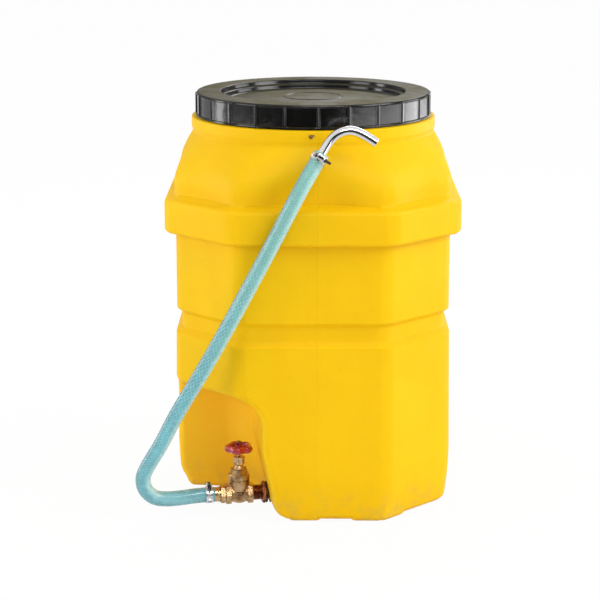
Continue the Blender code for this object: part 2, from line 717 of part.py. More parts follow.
def make_valve_body(bronze):
    profile = [
        (0, -VALVE_DROP),
        (VALVE_FOOT_RADIUS, -VALVE_DROP),
        (VALVE_BELLY_RADIUS, -VALVE_BELLY_DROP),
        (VALVE_WAIST_RADIUS, VALVE_WAIST_HEIGHT),
        (VALVE_TOP_RADIUS, VALVE_FLARE_HEIGHT),
        (VALVE_TOP_RADIUS, VALVE_TOP),
        (0, VALVE_TOP),
    ]
    body = placed("valve_body", turned(profile), bronze, VALVE)
    tube_solid = outlet_guide("valve tube", rod(VALVE_TUBE_RADIUS, VALVE_NEAR + GAP, VALVE_FAR - GAP))
    near_hex = outlet_guide("near port", hexagon(PORT_FLATS, VALVE_NEAR, VALVE_NEAR + PORT_HEX_LENGTH))
    far_hex = outlet_guide("far port", hexagon(PORT_FLATS, VALVE_FAR - PORT_HEX_LENGTH, VALVE_FAR))
    join(body, tube_solid, near_hex, far_hex)
    near_bore = rod(PORT_RADIUS, VALVE_NEAR - PORT_DEPTH, VALVE_NEAR + PORT_DEPTH)
    far_bore = rod(PORT_RADIUS, VALVE_FAR - PORT_DEPTH, VALVE_FAR + PORT_DEPTH)
    through = rod(PIPE_BORE_RADIUS, VALVE_NEAR, VALVE_FAR)
    disc, radius, half = wedge_shape(GAP)
    spigot_low = VALVE_TOP - SPIGOT_DEPTH
    slot = block((-half, -radius - GAP, 0), (half, radius + GAP, spigot_low + GAP))
    seat = rod(SPIGOT_RADIUS + GAP, spigot_low, VALVE_TOP + SPIGOT_DEPTH)
    cut(
        body,
        outlet_guide("near bore", near_bore),
        outlet_guide("far bore", far_bore),
        outlet_guide("through bore", through),
        placed("wedge pocket", disc, matrix=VALVE),
        placed("wedge slot", slot, matrix=VALVE),
        placed("bonnet seat", seat, matrix=VALVE),
    )


def make_bonnet(bronze):
    """The valve's upper housing, with the chamber for the open wedge and the stuffing box."""
    profile = [
        (CHAMBER_RADIUS, VALVE_TOP - SPIGOT_DEPTH + GAP),
        (SPIGOT_RADIUS, VALVE_TOP - SPIGOT_DEPTH + GAP),
        (SPIGOT_RADIUS, BONNET_LOW),
        (VALVE_TOP_RADIUS, BONNET_LOW),
        (VALVE_TOP_RADIUS, BONNET_HEX_LOW - GAP),
        (BONNET_CONE_RADIUS, BONNET_HEX_LOW + GAP),
        (BONNET_CONE_RADIUS, BONNET_CONE_LOW + GAP),
        (BONNET_NECK_RADIUS, BONNET_NECK_LOW),
        (BONNET_NECK_RADIUS, BONNET_TOP),
        (STUFFING_RADIUS, BONNET_TOP),
        (STUFFING_RADIUS, STUFFING_LOW),
        (STEM_HOLE_RADIUS, STUFFING_LOW),
        (STEM_HOLE_RADIUS, LUG_BORE_TOP),
        (LUG_BORE_RADIUS, LUG_BORE_TOP),
        (LUG_BORE_RADIUS, CHAMBER_TOP),
        (CHAMBER_RADIUS, CHAMBER_TOP),
    ]
    bonnet = placed("valve_bonnet", turned(profile), bronze, VALVE)
    hexagonal = hexagon(BONNET_FLATS, BONNET_HEX_LOW - 2 * GAP, BONNET_CONE_LOW)
    flats = placed("bonnet flats", hexagonal, matrix=VALVE)
    inside_wall = (BONNET_CONE_RADIUS + STUFFING_RADIUS) / 2
    cut(flats, placed("bonnet flats bore", rod(inside_wall, 0, BONNET_TOP), matrix=VALVE))
    join(bonnet, flats)


def make_wedge(bronze):
    """The gate, a disc across the bore, with a lug that rides on the stem's thread."""
    disc, _, _ = wedge_shape(0)
    wedge = placed("gate_wedge", disc, bronze, VALVE)
    join(wedge, placed("wedge lug", rod(LUG_RADIUS, 0, LUG_TOP), matrix=VALVE))
    bore = rod(STEM_HOLE_RADIUS, -2 * WEDGE_RADIUS, 2 * LUG_TOP)
    cut(wedge, placed("wedge bore", bore, matrix=VALVE))


def make_stem(bronze):
    inside = STUFFING_RADIUS - GAP
    collar_top = STEM_COLLAR_LOW + STEM_COLLAR_THICK
    profile = [
        (0, STEM_FOOT),
        (STEM_RADIUS, STEM_FOOT),
        (STEM_RADIUS, STEM_COLLAR_LOW),
        (inside, STEM_COLLAR_LOW),
        (inside, collar_top),
        (STEM_RADIUS, collar_top),
        (STEM_RADIUS, WHEEL_NUT_TOP + STEM_PROUD),
        (0, WHEEL_NUT_TOP + STEM_PROUD),
    ]
    placed("valve_stem", turned(profile), bronze, VALVE)


def make_packing(bronze, packing):
    """What seals the stem: packing, the gland that presses it, and the gland's nut."""
    inside = STUFFING_RADIUS - GAP
    rope = ring(STEM_HOLE_RADIUS, inside, PACKING_LOW, PACKING_LOW + PACKING_THICK)
    placed("stem_packing", rope, packing, VALVE)
    gland = [
        (STEM_HOLE_RADIUS, GLAND_LOW),
        (inside, GLAND_LOW),
        (inside, FLANGE_LOW),
        (BONNET_NECK_RADIUS, FLANGE_LOW),
        (BONNET_NECK_RADIUS, FLANGE_TOP),
        (STEM_HOLE_RADIUS, FLANGE_TOP),
    ]
    placed("packing_gland", turned(gland), bronze, VALVE)
    nut = placed("gland_nut", hexagon(GLAND_NUT_FLATS, GLAND_NUT_LOW, GLAND_NUT_TOP), bronze, VALVE)
    bore = rod(BONNET_NECK_RADIUS + GAP, GLAND_NUT_LOW - GLAND_NUT_GRIP, FLANGE_TOP + GAP)
    hole = rod(STEM_HOLE_RADIUS, GLAND_NUT_LOW, GLAND_NUT_TOP + GLAND_NUT_GRIP)
    cut(nut, placed("gland nut bore", bore, matrix=VALVE), placed("gland nut hole", hole, matrix=VALVE))


def wheel_rim():
    """A round-section rim whose radius swells into lobes."""
    mesh = bmesh.new()
    around = WHEEL_LOBE_STEPS * WHEEL_LOBES
    rows = []
    for i in range(around):
        turn = 2 * math.pi * i / around
        radius = WHEEL_RADIUS - WHEEL_RIM_RADIUS - WHEEL_LOBE_DEPTH * (1 - math.cos(WHEEL_LOBES * turn))
        row = []
        for k in range(WHEEL_RIM_SIDES):
            tilt = 2 * math.pi * k / WHEEL_RIM_SIDES
            out = radius + WHEEL_RIM_RADIUS * math.cos(tilt)
            height = WHEEL_MIDDLE + WHEEL_RIM_RADIUS * math.sin(tilt)
            row.append(mesh.verts.new((out * math.cos(turn), out * math.sin(turn), height)))
        rows.append(row)
    for row, after in zip(rows, rows[1:] + rows[:1]):
        bridge(mesh, row, after)
    return mesh


def make_wheel(red):
    wheel = placed("handwheel", rod(WHEEL_HUB_RADIUS, HUB_LOW, HUB_TOP), red, VALVE)
    reach = WHEEL_RADIUS - WHEEL_RIM_RADIUS
    low = (0, -WHEEL_SPOKE_WIDTH / 2, WHEEL_MIDDLE - WHEEL_SPOKE_THICK / 2)
    high = (reach, WHEEL_SPOKE_WIDTH / 2, WHEEL_MIDDLE + WHEEL_SPOKE_THICK / 2)
    for number in range(WHEEL_LOBES):
        turn = VALVE @ Matrix.Rotation(2 * math.pi * number / WHEEL_LOBES, 4, "Z")
        join(wheel, placed(f"spoke {number}", block(low, high), matrix=turn))
    join(wheel, placed("wheel rim", wheel_rim(), matrix=VALVE))
    bore = rod(STEM_RADIUS + GAP, HUB_LOW - WHEEL_HUB_HEIGHT, HUB_TOP + WHEEL_HUB_HEIGHT)
    cut(wheel, placed("wheel bore", bore, matrix=VALVE))


def make_wheel_nut(bronze):
    nut = placed("handwheel_nut", hexagon(WHEEL_NUT_FLATS, WHEEL_NUT_LOW, WHEEL_NUT_TOP), bronze, VALVE)
    bore = rod(STEM_RADIUS + GAP, WHEEL_NUT_LOW - WHEEL_NUT_THICK, WHEEL_NUT_TOP + WHEEL_NUT_THICK)
    cut(nut, placed("wheel nut bore", bore, matrix=VALVE))


def make_hose_nipple(bronze):
    start = VALVE_FAR - PORT_DEPTH + GAP
    hex_low = VALVE_FAR + GAP
    end = HOSE_START - GAP
    profile = [
        (0, start),
        (PIPE_RADIUS, start),
        (PIPE_RADIUS, hex_low + NIPPLE_HEX_LENGTH / 2),
        (NIPPLE_NECK_RADIUS, hex_low + NIPPLE_HEX_LENGTH / 2 + GAP),
        (NIPPLE_NECK_RADIUS, end),
        (0, end),
    ]
    nipple = outlet_piece("hose_nipple", turned(profile), bronze)
    flats = outlet_guide("nipple flats", hexagon(NIPPLE_FLATS, hex_low, hex_low + NIPPLE_HEX_LENGTH))
    join(nipple, flats)
    cut(nipple, outlet_guide("nipple bore", rod(PIPE_BORE_RADIUS, start - GAP, HOSE_START + GAP)))


def hose_line():
    start = OUTLET @ Vector((HOSE_START, 0, 0))
    lead = OUTLET @ Vector((HOSE_START + BAND_FROM_END * 2, 0, 0))
    return smooth_line([start, lead, *HOSE_ROUTE], HOSE_STEPS)


def make_hose(line, clear_plastic):
    """The hose as one plain tube, which only its round section and its route describe."""
    data = bpy.data.curves.new("hose", "CURVE")
    data.dimensions = "3D"
    data.bevel_depth = HOSE_RADIUS
    data.bevel_resolution = HOSE_ROUNDNESS
    data.use_fill_caps = True
    spline = data.splines.new("POLY")
    spline.points.add(len(line) - 1)
    for point, place in zip(spline.points, line):
        point.co = (*place, 1)
    data.materials.append(clear_plastic)
    bpy.context.scene.collection.objects.link(bpy.data.objects.new("hose", data))


def clamp_frame(end, inward, housing_side):
    """Axes at a clamp: X along its screw, Y out to its housing, Z along the hose."""
    along = inward.normalized()
    out = (housing_side - along * housing_side.dot(along)).normalized()
    axes = Matrix((out.cross(along), out, along)).transposed().to_4x4()
    return Matrix.Translation(end + along * BAND_FROM_END) @ axes


def make_clamp(name, frame, steel, black):
    """A band with a housing on it, and the screw and thumb key that turn in the housing."""
    inner = HOSE_RADIUS + BAND_GAP
    outer = inner + BAND_THICK
    bore = CLAMP_SCREW_RADIUS + TURNING_GAP
    screw_out = outer + HOUSING_WALL / 2 + bore
    band_ring = ring(inner, outer, -BAND_WIDTH / 2, BAND_WIDTH / 2, BAND_SIDES)
    band = placed(name + "_clamp_band", band_ring, steel, frame)
    half = HOUSING_LENGTH / 2
    low = (-half, inner + BAND_THICK / 2, -HOUSING_WIDTH / 2)
    high = (half, screw_out + bore + HOUSING_WALL, HOUSING_WIDTH / 2)
    join(band, placed(name + " housing", block(low, high), matrix=frame))
    opening = moved(rod(bore, -HOUSING_LENGTH, HOUSING_LENGTH), ALONG_X)
    screw_frame = frame @ Matrix.Translation((0, screw_out, 0))
    cut(
        band,
        placed(name + " housing bore", opening, matrix=screw_frame),
        placed(name + " band bore", rod(inner, -BAND_WIDTH, BAND_WIDTH, BAND_SIDES), matrix=frame),
    )
    head = half + GAP + CLAMP_HEAD_THICK
    profile = [
        (0, -head),
        (CLAMP_HEAD_RADIUS, -head),
        (CLAMP_HEAD_RADIUS, -half - GAP),
        (CLAMP_SCREW_RADIUS, -half - GAP),
        (CLAMP_SCREW_RADIUS, half + GAP),
        (CLAMP_HEAD_RADIUS, half + GAP),
        (CLAMP_HEAD_RADIUS, half + GAP + KEY_STALK),
        (0, half + GAP + KEY_STALK),
    ]
    screw = placed(name + "_clamp_screw", moved(turned(profile), ALONG_X), black, screw_frame)
    key_low = (half + GAP + KEY_STALK - KEY_ROOT, -KEY_SPAN / 2, -KEY_THICK / 2)
    key_high = (half + KEY_STALK + KEY_LENGTH, KEY_SPAN / 2, KEY_THICK / 2)
    join(screw, placed(name + " key", block(key_low, key_high), matrix=screw_frame))


def make_spout(end, along, chrome):
    """The bent pipe at the hose's upper end."""
    start = end + along * GAP
    middle = start + along * SPOUT_LEAD / 2
    bends = [end + Vector(place) for place in SPOUT_ROUTE]
    line = [start, middle, *smooth_line([start + along * SPOUT_LEAD, *bends], SPOUT_STEPS)]
    placed("spout", tube(line, SPOUT_SIDES, SPOUT_RADIUS, SPOUT_RADIUS - SPOUT_WALL), chrome)


def make_hook(steel):
    """A wire hook on a small round plate, on the front of the collar."""
    turn = Matrix.Rotation(HOOK_TURN, 4, "Z")
    middle = (COLLAR_LOW + COLLAR_TOP) / 2
    frame = turn @ Matrix.Translation((COLLAR_RADIUS + GAP, 0, middle))
    hook = placed("hose_hook", moved(rod(HOOK_PLATE_RADIUS, 0, HOOK_PLATE_THICK), ALONG_X), steel, frame)
    route = [
        (HOOK_PLATE_THICK / 2, 0, 0),
        (HOOK_REACH - HOOK_BEND, 0, 0),
        (HOOK_REACH, 0, HOOK_BEND),
        (HOOK_REACH, 0, HOOK_RISE),
    ]
    wire = tube(smooth_line(route, 2), HOOK_SIDES, HOOK_WIRE_RADIUS)
    join(hook, placed("hook wire", wire, matrix=frame))


def main():
    clear_scene()
    yellow = finish("tank plastic", (0.90, 0.52, 0.02), 0.45)
    black = finish("lid plastic", (0.02, 0.02, 0.022), 0.25)
    rubber = finish("seal rubber", (0.03, 0.03, 0.03), 0.8)
    bronze = finish("cast bronze", (0.50, 0.30, 0.14), 0.4, 1.0)
    packing = finish("packing", (0.65, 0.60, 0.50), 0.9)
    red = finish("wheel paint", (0.55, 0.02, 0.04), 0.4)
    clear_plastic = finish("hose plastic", (0.25, 0.60, 0.62), 0.3)
    steel = finish("clamp steel", (0.75, 0.75, 0.76), 0.3, 1.0)
    key = finish("key plastic", (0.03, 0.03, 0.03), 0.5)
    chrome = finish("spout chrome", (0.90, 0.90, 0.92), 0.12, 1.0)

    make_tank(yellow)
    make_lid(black, rubber)
    make_outlet(bronze, rubber)
    make_valve_body(bronze)
    make_bonnet(bronze)
    make_wedge(bronze)
    make_stem(bronze)
    make_packing(bronze, packing)
    make_wheel(red)
    make_wheel_nut(bronze)
    make_hose_nipple(bronze)

    line = hose_line()
    make_hose(line, clear_plastic)
    lower = clamp_frame(line[0], line[1] - line[0], Vector((0, 0, 1)))
    upper = clamp_frame(line[-1], line[-2] - line[-1], Vector((0, -1, 0)))
    make_clamp("lower", lower, steel, key)
    make_clamp("upper", upper, steel, key)
    make_spout(line[-1], (line[-1] - line[-2]).normalized(), chrome)
    make_hook(steel)


main()
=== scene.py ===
import math

import bmesh
import bpy
from bpy.props import FloatProperty, FloatVectorProperty, IntProperty, PointerProperty
from mathutils import Matrix, Vector, geometry


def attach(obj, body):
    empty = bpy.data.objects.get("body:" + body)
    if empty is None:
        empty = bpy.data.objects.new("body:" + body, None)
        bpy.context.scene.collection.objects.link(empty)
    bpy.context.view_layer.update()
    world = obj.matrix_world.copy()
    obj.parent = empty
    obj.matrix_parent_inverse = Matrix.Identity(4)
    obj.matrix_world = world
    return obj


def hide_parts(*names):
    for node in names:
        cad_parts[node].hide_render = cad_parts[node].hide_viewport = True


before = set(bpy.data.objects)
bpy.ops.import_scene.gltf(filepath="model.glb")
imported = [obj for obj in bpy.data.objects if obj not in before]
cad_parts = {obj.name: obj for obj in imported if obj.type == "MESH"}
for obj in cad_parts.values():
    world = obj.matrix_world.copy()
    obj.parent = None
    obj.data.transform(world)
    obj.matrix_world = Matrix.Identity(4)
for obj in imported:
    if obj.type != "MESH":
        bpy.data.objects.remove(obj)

bl_info = {
    "name": "Water tank with drain valve and hose",
    "version": (1, 0, 0),
    "blender": (4, 5, 0),
    "location": "3D View > Sidebar > Water tank",
    "description": "Models the visible pieces of a moulded water tank, its screw lid, valve and hose",
    "category": "Object",
}

FULL_TURN = 2 * math.pi


def about(letter, angle):
    """A turn about an axis."""
    return Matrix.Rotation(angle, 4, letter)


def mm(*points):
    """Points in metres from points in millimetres."""
    return [tuple(part / 1000 for part in point) for point in points]


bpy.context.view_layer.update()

# The outlet's axis leaves the recess wall at WALL_SEAT, the valve's stem stands at VALVE_CENTRE
WALL_SEAT = Vector((-0.0795, -0.159, 0.030))
OUTLET_TURN = math.radians(10)
OUTWARD = Vector((-math.cos(OUTLET_TURN), -math.sin(OUTLET_TURN), 0))
VALVE_CENTRE = WALL_SEAT + OUTWARD * 0.049
HOSE_START = WALL_SEAT + OUTWARD * 0.0926

# Z up on the valve's stem, and Z along the outlet's axis away from the tank
VALVE_PLACE = Matrix.Translation(VALVE_CENTRE) @ about("Z", math.pi + OUTLET_TURN)
ALONG_OUTLET = Matrix.Translation(VALVE_CENTRE) @ OUTWARD.to_track_quat("Z", "Y").to_matrix().to_4x4()

# The same points as in the part's source
HOSE_ROUTE = [
    HOSE_START,
    HOSE_START + OUTWARD * 0.018,
    (-0.2080, -0.1840, 0.0298),
    (-0.2300, -0.1920, 0.0293),
    (-0.2520, -0.2003, 0.0305),
    (-0.2710, -0.2070, 0.0356),
    (-0.2849, -0.2120, 0.0495),
    (-0.2900, -0.2145, 0.0685),
    (-0.2849, -0.2170, 0.0875),
    (-0.2580, -0.2240, 0.1350),
    (-0.2295, -0.2315, 0.1910),
    (-0.1785, -0.2455, 0.2800),
    (-0.1320, -0.2570, 0.3660),
    (-0.0885, -0.2640, 0.4490),
    (-0.0575, -0.2668, 0.5090),
    (-0.0340, -0.2660, 0.5550),
    (-0.0110, -0.2590, 0.5970),
    (0.0140, -0.2450, 0.6370),
]
SPOUT_BENDS = [
    (0.0135, 0.0065, 0.0200),
    (0.0275, 0.0080, 0.0320),
    (0.0460, 0.0085, 0.0370),
    (0.0640, 0.0080, 0.0320),
    (0.0890, 0.0065, 0.0170),
]


def smooth_line(points, steps):
    """Points on a smooth curve through the given ones, with this many steps between each two."""
    points = [Vector(point) for point in points]
    line = [points[0]]
    for i in range(len(points) - 1):
        here, there = points[i], points[i + 1]
        before, after = points[max(i - 1, 0)], points[min(i + 2, len(points) - 1)]
        reach = (there - here).length / 3
        leaving = here + (there - before).normalized() * reach
        arriving = there - (after - here).normalized() * reach
        line += geometry.interpolate_bezier(here, leaving, arriving, there, steps + 1)[1:]
    return line


HOSE_LINE = smooth_line(HOSE_ROUTE, 8)
HOSE_END = HOSE_LINE[-1]
HOSE_AIM = (HOSE_LINE[-1] - HOSE_LINE[-2]).normalized()


# Sizes and colours that a user would change


class TankSizes(bpy.types.PropertyGroup):
    """The moulded tank"""

    width: FloatProperty(name="Body width", description="Across two opposite faces", default=0.469, unit="LENGTH")
    corner: FloatProperty(name="Cut corner", description="Leg of each cut corner", default=0.109, unit="LENGTH")
    wall: FloatProperty(name="Wall", description="Thickness of the plastic", default=0.004, unit="LENGTH")
    belt: FloatProperty(name="Belt", description="How far the belt stands out", default=0.0185, unit="LENGTH")
    groove: FloatProperty(
        name="Groove", description="Depth of the groove round the body", default=0.0085, unit="LENGTH"
    )
    mouth: FloatProperty(
        name="Recess edge", description="Rounding of the recess's mouth", default=0.012, unit="LENGTH"
    )
    dent: FloatProperty(
        name="Dent depth", description="Depth of the dents above the belt", default=0.01, unit="LENGTH"
    )
    colour: FloatVectorProperty(
        name="Plastic", description="Colour of the tank", subtype="COLOR", default=(0.9, 0.52, 0.003)
    )
    dust: FloatVectorProperty(
        name="Dust", description="Dust near the floor", subtype="COLOR", default=(0.55, 0.37, 0.09)
    )


class LidSizes(bpy.types.PropertyGroup):
    """The screw lid"""

    ribs: IntProperty(name="Grip ribs", description="Ribs round the skirt", default=24, min=6, max=60)
    rib_width: FloatProperty(name="Rib width", description="Width of a grip rib", default=0.0036, unit="LENGTH")
    panel: FloatProperty(
        name="Panel depth", description="Depth of the panels between the ribs", default=0.001, unit="LENGTH"
    )
    colour: FloatVectorProperty(
        name="Plastic", description="Colour of the lid", subtype="COLOR", default=(0.0035, 0.0035, 0.0032)
    )
    film: FloatVectorProperty(
        name="Film", description="Dusty film on the top", subtype="COLOR", default=(0.064, 0.051, 0.005)
    )


class HoseSizes(bpy.types.PropertyGroup):
    """The braided hose"""

    diameter: FloatProperty(name="Diameter", description="Across the hose", default=0.026, unit="LENGTH")
    threads: IntProperty(name="Threads", description="Braid threads in each direction", default=12, min=4, max=40)
    crossings: IntProperty(
        name="Crossings", description="Turns of all threads along the hose", default=170, min=20, max=600
    )
    colour: FloatVectorProperty(
        name="Hose", description="Colour of the hose", subtype="COLOR", default=(0.12, 0.45, 0.53)
    )
    thread: FloatVectorProperty(
        name="Braid", description="Colour of the braid", subtype="COLOR", default=(0.5, 0.74, 0.75)
    )


class ValveSizes(bpy.types.PropertyGroup):
    """The outlet and its gate valve"""

    lobes: IntProperty(name="Lobes", description="Lobes of the handwheel", default=5, min=3, max=8)
    wheel: FloatProperty(
        name="Handwheel", description="Radius to the middle of its rim", default=0.0206, unit="LENGTH"
    )
    pitch: FloatProperty(name="Thread pitch", description="Of the outlet's pipe", default=0.0018, unit="LENGTH")
    bronze: FloatVectorProperty(
        name="Bronze", description="Colour of the castings", subtype="COLOR", default=(0.56, 0.37, 0.19)
    )
    copper: FloatVectorProperty(
        name="Outlet", description="Colour of the outlet's pipe and nut", subtype="COLOR", default=(0.34, 0.13, 0.06)
    )
    paint: FloatVectorProperty(
        name="Paint", description="Colour of the handwheel", subtype="COLOR", default=(0.42, 0.004, 0.013)
    )


class StudioLight(bpy.types.PropertyGroup):
    """Lamps and surroundings"""

    key: FloatProperty(name="Key lamp", description="Front right, high", default=80, subtype="POWER")
    side: FloatProperty(name="Side lamp", description="Front left", default=32, subtype="POWER")
    back: FloatProperty(name="Back lamp", description="Behind the tank, high", default=26, subtype="POWER")
    room: FloatProperty(
        name="Room light", description="Soft light from all round", default=0.92, min=0, max=1, subtype="FACTOR"
    )
    backdrop: FloatProperty(
        name="Backdrop", description="How bright it is in reflections", default=0.28, min=0, max=1, subtype="FACTOR"
    )
    ceiling: FloatProperty(
        name="Ceiling", description="How bright it is in reflections", default=0.8, min=0, max=1, subtype="FACTOR"
    )


# Steps that many pieces share


def put_down():
    """Leaves edit mode and deselects everything."""
    if bpy.context.object and bpy.context.object.mode != "OBJECT":
        bpy.ops.object.mode_set(mode="OBJECT")
    bpy.ops.object.select_all(action="DESELECT")


def take_up(*pieces):
    """Makes these pieces the only selected ones, and the first one active."""
    put_down()
    for piece in pieces:
        piece.select_set(True)
    bpy.context.view_layer.objects.active = pieces[0]


def open_up(piece):
    """Puts a piece in edit mode with all of it selected."""
    take_up(piece)
    bpy.ops.object.mode_set(mode="EDIT")
    bpy.ops.mesh.select_mode(type="VERT")
    pick_all()


def pick_all():
    bpy.ops.mesh.select_all(action="SELECT")


def pick(kind, test):
    """In edit mode, selects the corners, edges or faces that pass the test."""
    bpy.ops.mesh.select_mode(type=kind)
    bpy.ops.mesh.select_all(action="DESELECT")
    mesh = bmesh.from_edit_mesh(bpy.context.object.data)
    items = {"VERT": mesh.verts, "EDGE": mesh.edges, "FACE": mesh.faces}[kind]
    chosen = [item for item in items if test(item)]
    if not chosen:
        raise RuntimeError(f"{bpy.context.object.name}: nothing to pick")
    for item in chosen:
        item.select_set(True)
    bmesh.update_edit_mesh(bpy.context.object.data)


def middle(item):
    return sum((corner.co for corner in item.verts), Vector()) / len(item.verts)


def picked_spots():
    """In edit mode, where the picked corners are."""
    mesh = bmesh.from_edit_mesh(bpy.context.object.data)
    return [corner.co.copy() for corner in mesh.verts if corner.select]


def bevel(offset, segments):
    """In edit mode, rounds the picked edges."""
    bpy.ops.mesh.bevel(offset=offset, segments=segments, affect="EDGES")


def inset(thickness, depth=0, **more):
    """In edit mode, draws the picked faces in and then out by the depth."""
    bpy.ops.mesh.inset(thickness=thickness, depth=depth, **more)


def run(edge):
    """How far an edge goes along each axis."""
    return Vector([abs(part) for part in edge.verts[1].co - edge.verts[0].co])


def press(direction, depth, spread):
    """In edit mode, pushes the picked corners with a soft edge round them."""
    bpy.ops.transform.translate(
        value=direction * depth,
        use_proportional_edit=True,
        use_proportional_connected=True,
        proportional_edit_falloff="SMOOTH",
        proportional_size=spread,
    )


def relax(centre, reach, rounds):
    """In edit mode, evens out the small faces round a spot."""
    longest = 0.012

    def on_small_faces(corner):
        close = (corner.co - Vector(centre)).length < reach
        return close and all(edge.calc_length() < longest for edge in corner.link_edges)

    pick("VERT", on_small_faces)
    bpy.ops.mesh.vertices_smooth(factor=0.5, repeat=rounds)


def raise_to(height, half, roundness=0):
    """Extrudes the selected top face to a height, rounds its outline and sets its half width."""
    levels = [spot.z for spot in picked_spots()]
    bpy.ops.mesh.extrude_region_move(TRANSFORM_OT_translate={"value": (0, 0, height - sum(levels) / len(levels))})
    if roundness:
        bpy.ops.transform.tosphere(value=roundness, center_override=(0, 0, height))
    factor = half / max(spot.x for spot in picked_spots())
    bpy.ops.transform.resize(value=(factor, factor, 1), center_override=(0, 0, height))


def apply_modifier(piece, kind, **settings):
    take_up(piece)
    modifier = piece.modifiers.new(kind.lower(), kind)
    for key, value in settings.items():
        setattr(modifier, key, value)
    bpy.ops.object.modifier_apply(modifier=modifier.name)


def cut_away(piece, *tools, operation="DIFFERENCE"):
    for tool in tools:
        apply_modifier(piece, "BOOLEAN", object=tool, operation=operation, solver="EXACT", material_mode="TRANSFER")
        bpy.data.objects.remove(tool)


def soften(piece, width):
    """Rounds the piece's sharp edges."""
    apply_modifier(piece, "BEVEL", width=width, segments=2, limit_method="ANGLE", angle_limit=math.radians(30))


def join(*pieces):
    """Joins the pieces to the first one."""
    take_up(*pieces)
    bpy.ops.object.join()


def fuse(pieces, cell=0.0006, rounds=4):
    """Melts overlapping solids into one, with the soft inner corners of a casting."""
    join(*pieces)
    apply_modifier(pieces[0], "REMESH", mode="VOXEL", voxel_size=cell)
    apply_modifier(pieces[0], "SMOOTH", factor=0.5, iterations=rounds)


def set_down_at(piece, place):
    """Writes a place into the piece's mesh."""
    piece.matrix_world = place
    take_up(piece)
    bpy.ops.object.transform_apply()


def new_object(name, data):
    """Puts an object with this data in the scene."""
    made = bpy.data.objects.new(name, data)
    bpy.context.scene.collection.objects.link(made)
    return made


def copies(pattern, places):
    """Sets a copy with its own mesh down at each place and removes the pattern."""
    made = []
    for place in places:
        copy = new_object("copy", pattern.data.copy())
        set_down_at(copy, place)
        made.append(copy)
    bpy.data.objects.remove(pattern)
    return made


def face_outwards():
    """In edit mode, merges doubled corners and turns every face outwards."""
    doubled = 0.00002
    pick_all()
    bpy.ops.mesh.remove_doubles(threshold=doubled)
    bpy.ops.mesh.normals_make_consistent(inside=False)


def finish_piece(piece, name, body, slot, material, *nodes, angle=35):
    """Smooths a piece, gives it its finish and sets it on its body."""
    take_up(piece)
    bpy.ops.object.transform_apply()
    piece.name = name
    piece.data.name = name
    piece.data.materials.clear()
    piece.data.materials.append(material)
    bpy.ops.object.shade_smooth_by_angle(angle=math.radians(angle))
    apply_modifier(piece, "WEIGHTED_NORMAL", keep_sharp=True, weight=60)
    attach(piece, body)
    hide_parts(*nodes)


def block(low, high, edge=0, segments=1):
    """A box between two corners, with its edges rounded if that is asked for."""
    low, high = Vector(low), Vector(high)
    put_down()
    bpy.ops.mesh.primitive_cube_add(size=1, location=(low + high) / 2, scale=high - low)
    bpy.ops.object.transform_apply()
    box = bpy.context.object
    if edge:
        open_up(box)
        bevel(edge, segments)
        put_down()
    return box


def rod(radius, low, high, sides, place=Matrix()):
    """A round bar along Z."""
    put_down()
    centre = (0, 0, (low + high) / 2)
    bpy.ops.mesh.primitive_cylinder_add(vertices=sides, radius=radius, depth=high - low, location=centre)
    bar = bpy.context.object
    bpy.ops.object.transform_apply()
    set_down_at(bar, place)
    return bar


def drill(piece, radius, low, high, place=Matrix(), sides=48):
    """Takes a round hole along Z out of a piece."""
    cut_away(piece, rod(radius, low, high, sides, place))


def turned(points, steps, place=Matrix()):
    """Spins a profile of radii and heights round the Z axis."""
    put_down()
    bpy.ops.mesh.primitive_plane_add(size=0.01)
    piece = bpy.context.object
    open_up(piece)
    bpy.ops.mesh.merge(type="CENTER")
    spots = [Vector((radius, 0, height)) for radius, height in points]
    bpy.ops.transform.translate(value=spots[0])
    for last, spot in zip(spots, spots[1:]):
        bpy.ops.mesh.extrude_vertices_move(TRANSFORM_OT_translate={"value": spot - last})
    pick_all()
    bpy.ops.mesh.spin(steps=steps, angle=FULL_TURN, center=(0, 0, 0), axis=(0, 0, 1))
    face_outwards()
    set_down_at(piece, place)
    return piece


def hexagon(across_flats, low, high, place=Matrix(), edge=0.0006):
    """A hexagon bar along Z with softened edges."""
    piece = rod(across_flats / math.sqrt(3), low, high, 6)
    open_up(piece)
    bevel(edge, 2)
    set_down_at(piece, place)
    return piece


def lock_nut(across_flats, low, high, bore, place=ALONG_OUTLET, chamfer=0.0022):
    """A hexagon nut with both ends chamfered round and a bore through it."""
    nut = hexagon(across_flats, low, high)
    spare, past = 0.0004, 0.01
    flat, corner = across_flats / 2 - spare, across_flats / math.sqrt(3) + spare
    side = [(flat, low), (corner, low + chamfer), (corner, high - chamfer), (flat, high)]
    cut_away(nut, turned([(0, low), *side, (0, high)], 64), operation="INTERSECT")
    drill(nut, bore, low - past, high + past)
    soften(nut, 0.0003)
    set_down_at(nut, place @ about("Z", math.pi / 6))
    return nut


def tube(radius, line, sides):
    """A round bar along a line of points, with its length and its turn in its UV map."""
    data = bpy.data.curves.new("tube", "CURVE")
    data.dimensions = "3D"
    data.bevel_depth = radius
    data.bevel_resolution = sides // 4 - 1
    spline = data.splines.new("POLY")
    spline.points.add(len(line) - 1)
    for point, place in zip(spline.points, line):
        point.co = (*place, 1)
    take_up(new_object("tube", data))
    bpy.ops.object.convert(target="MESH")
    piece = bpy.context.object
    open_up(piece)
    bpy.ops.mesh.fill_holes(sides=0)
    bpy.ops.mesh.normals_make_consistent(inside=False)
    put_down()
    return piece


def thread_profile(low, pitch, turns, tooth):
    """Repeats a tooth, given as radii and shares of the pitch, along an axis."""
    return [(radius, low + pitch * number + pitch * share) for number in range(turns) for radius, share in tooth]


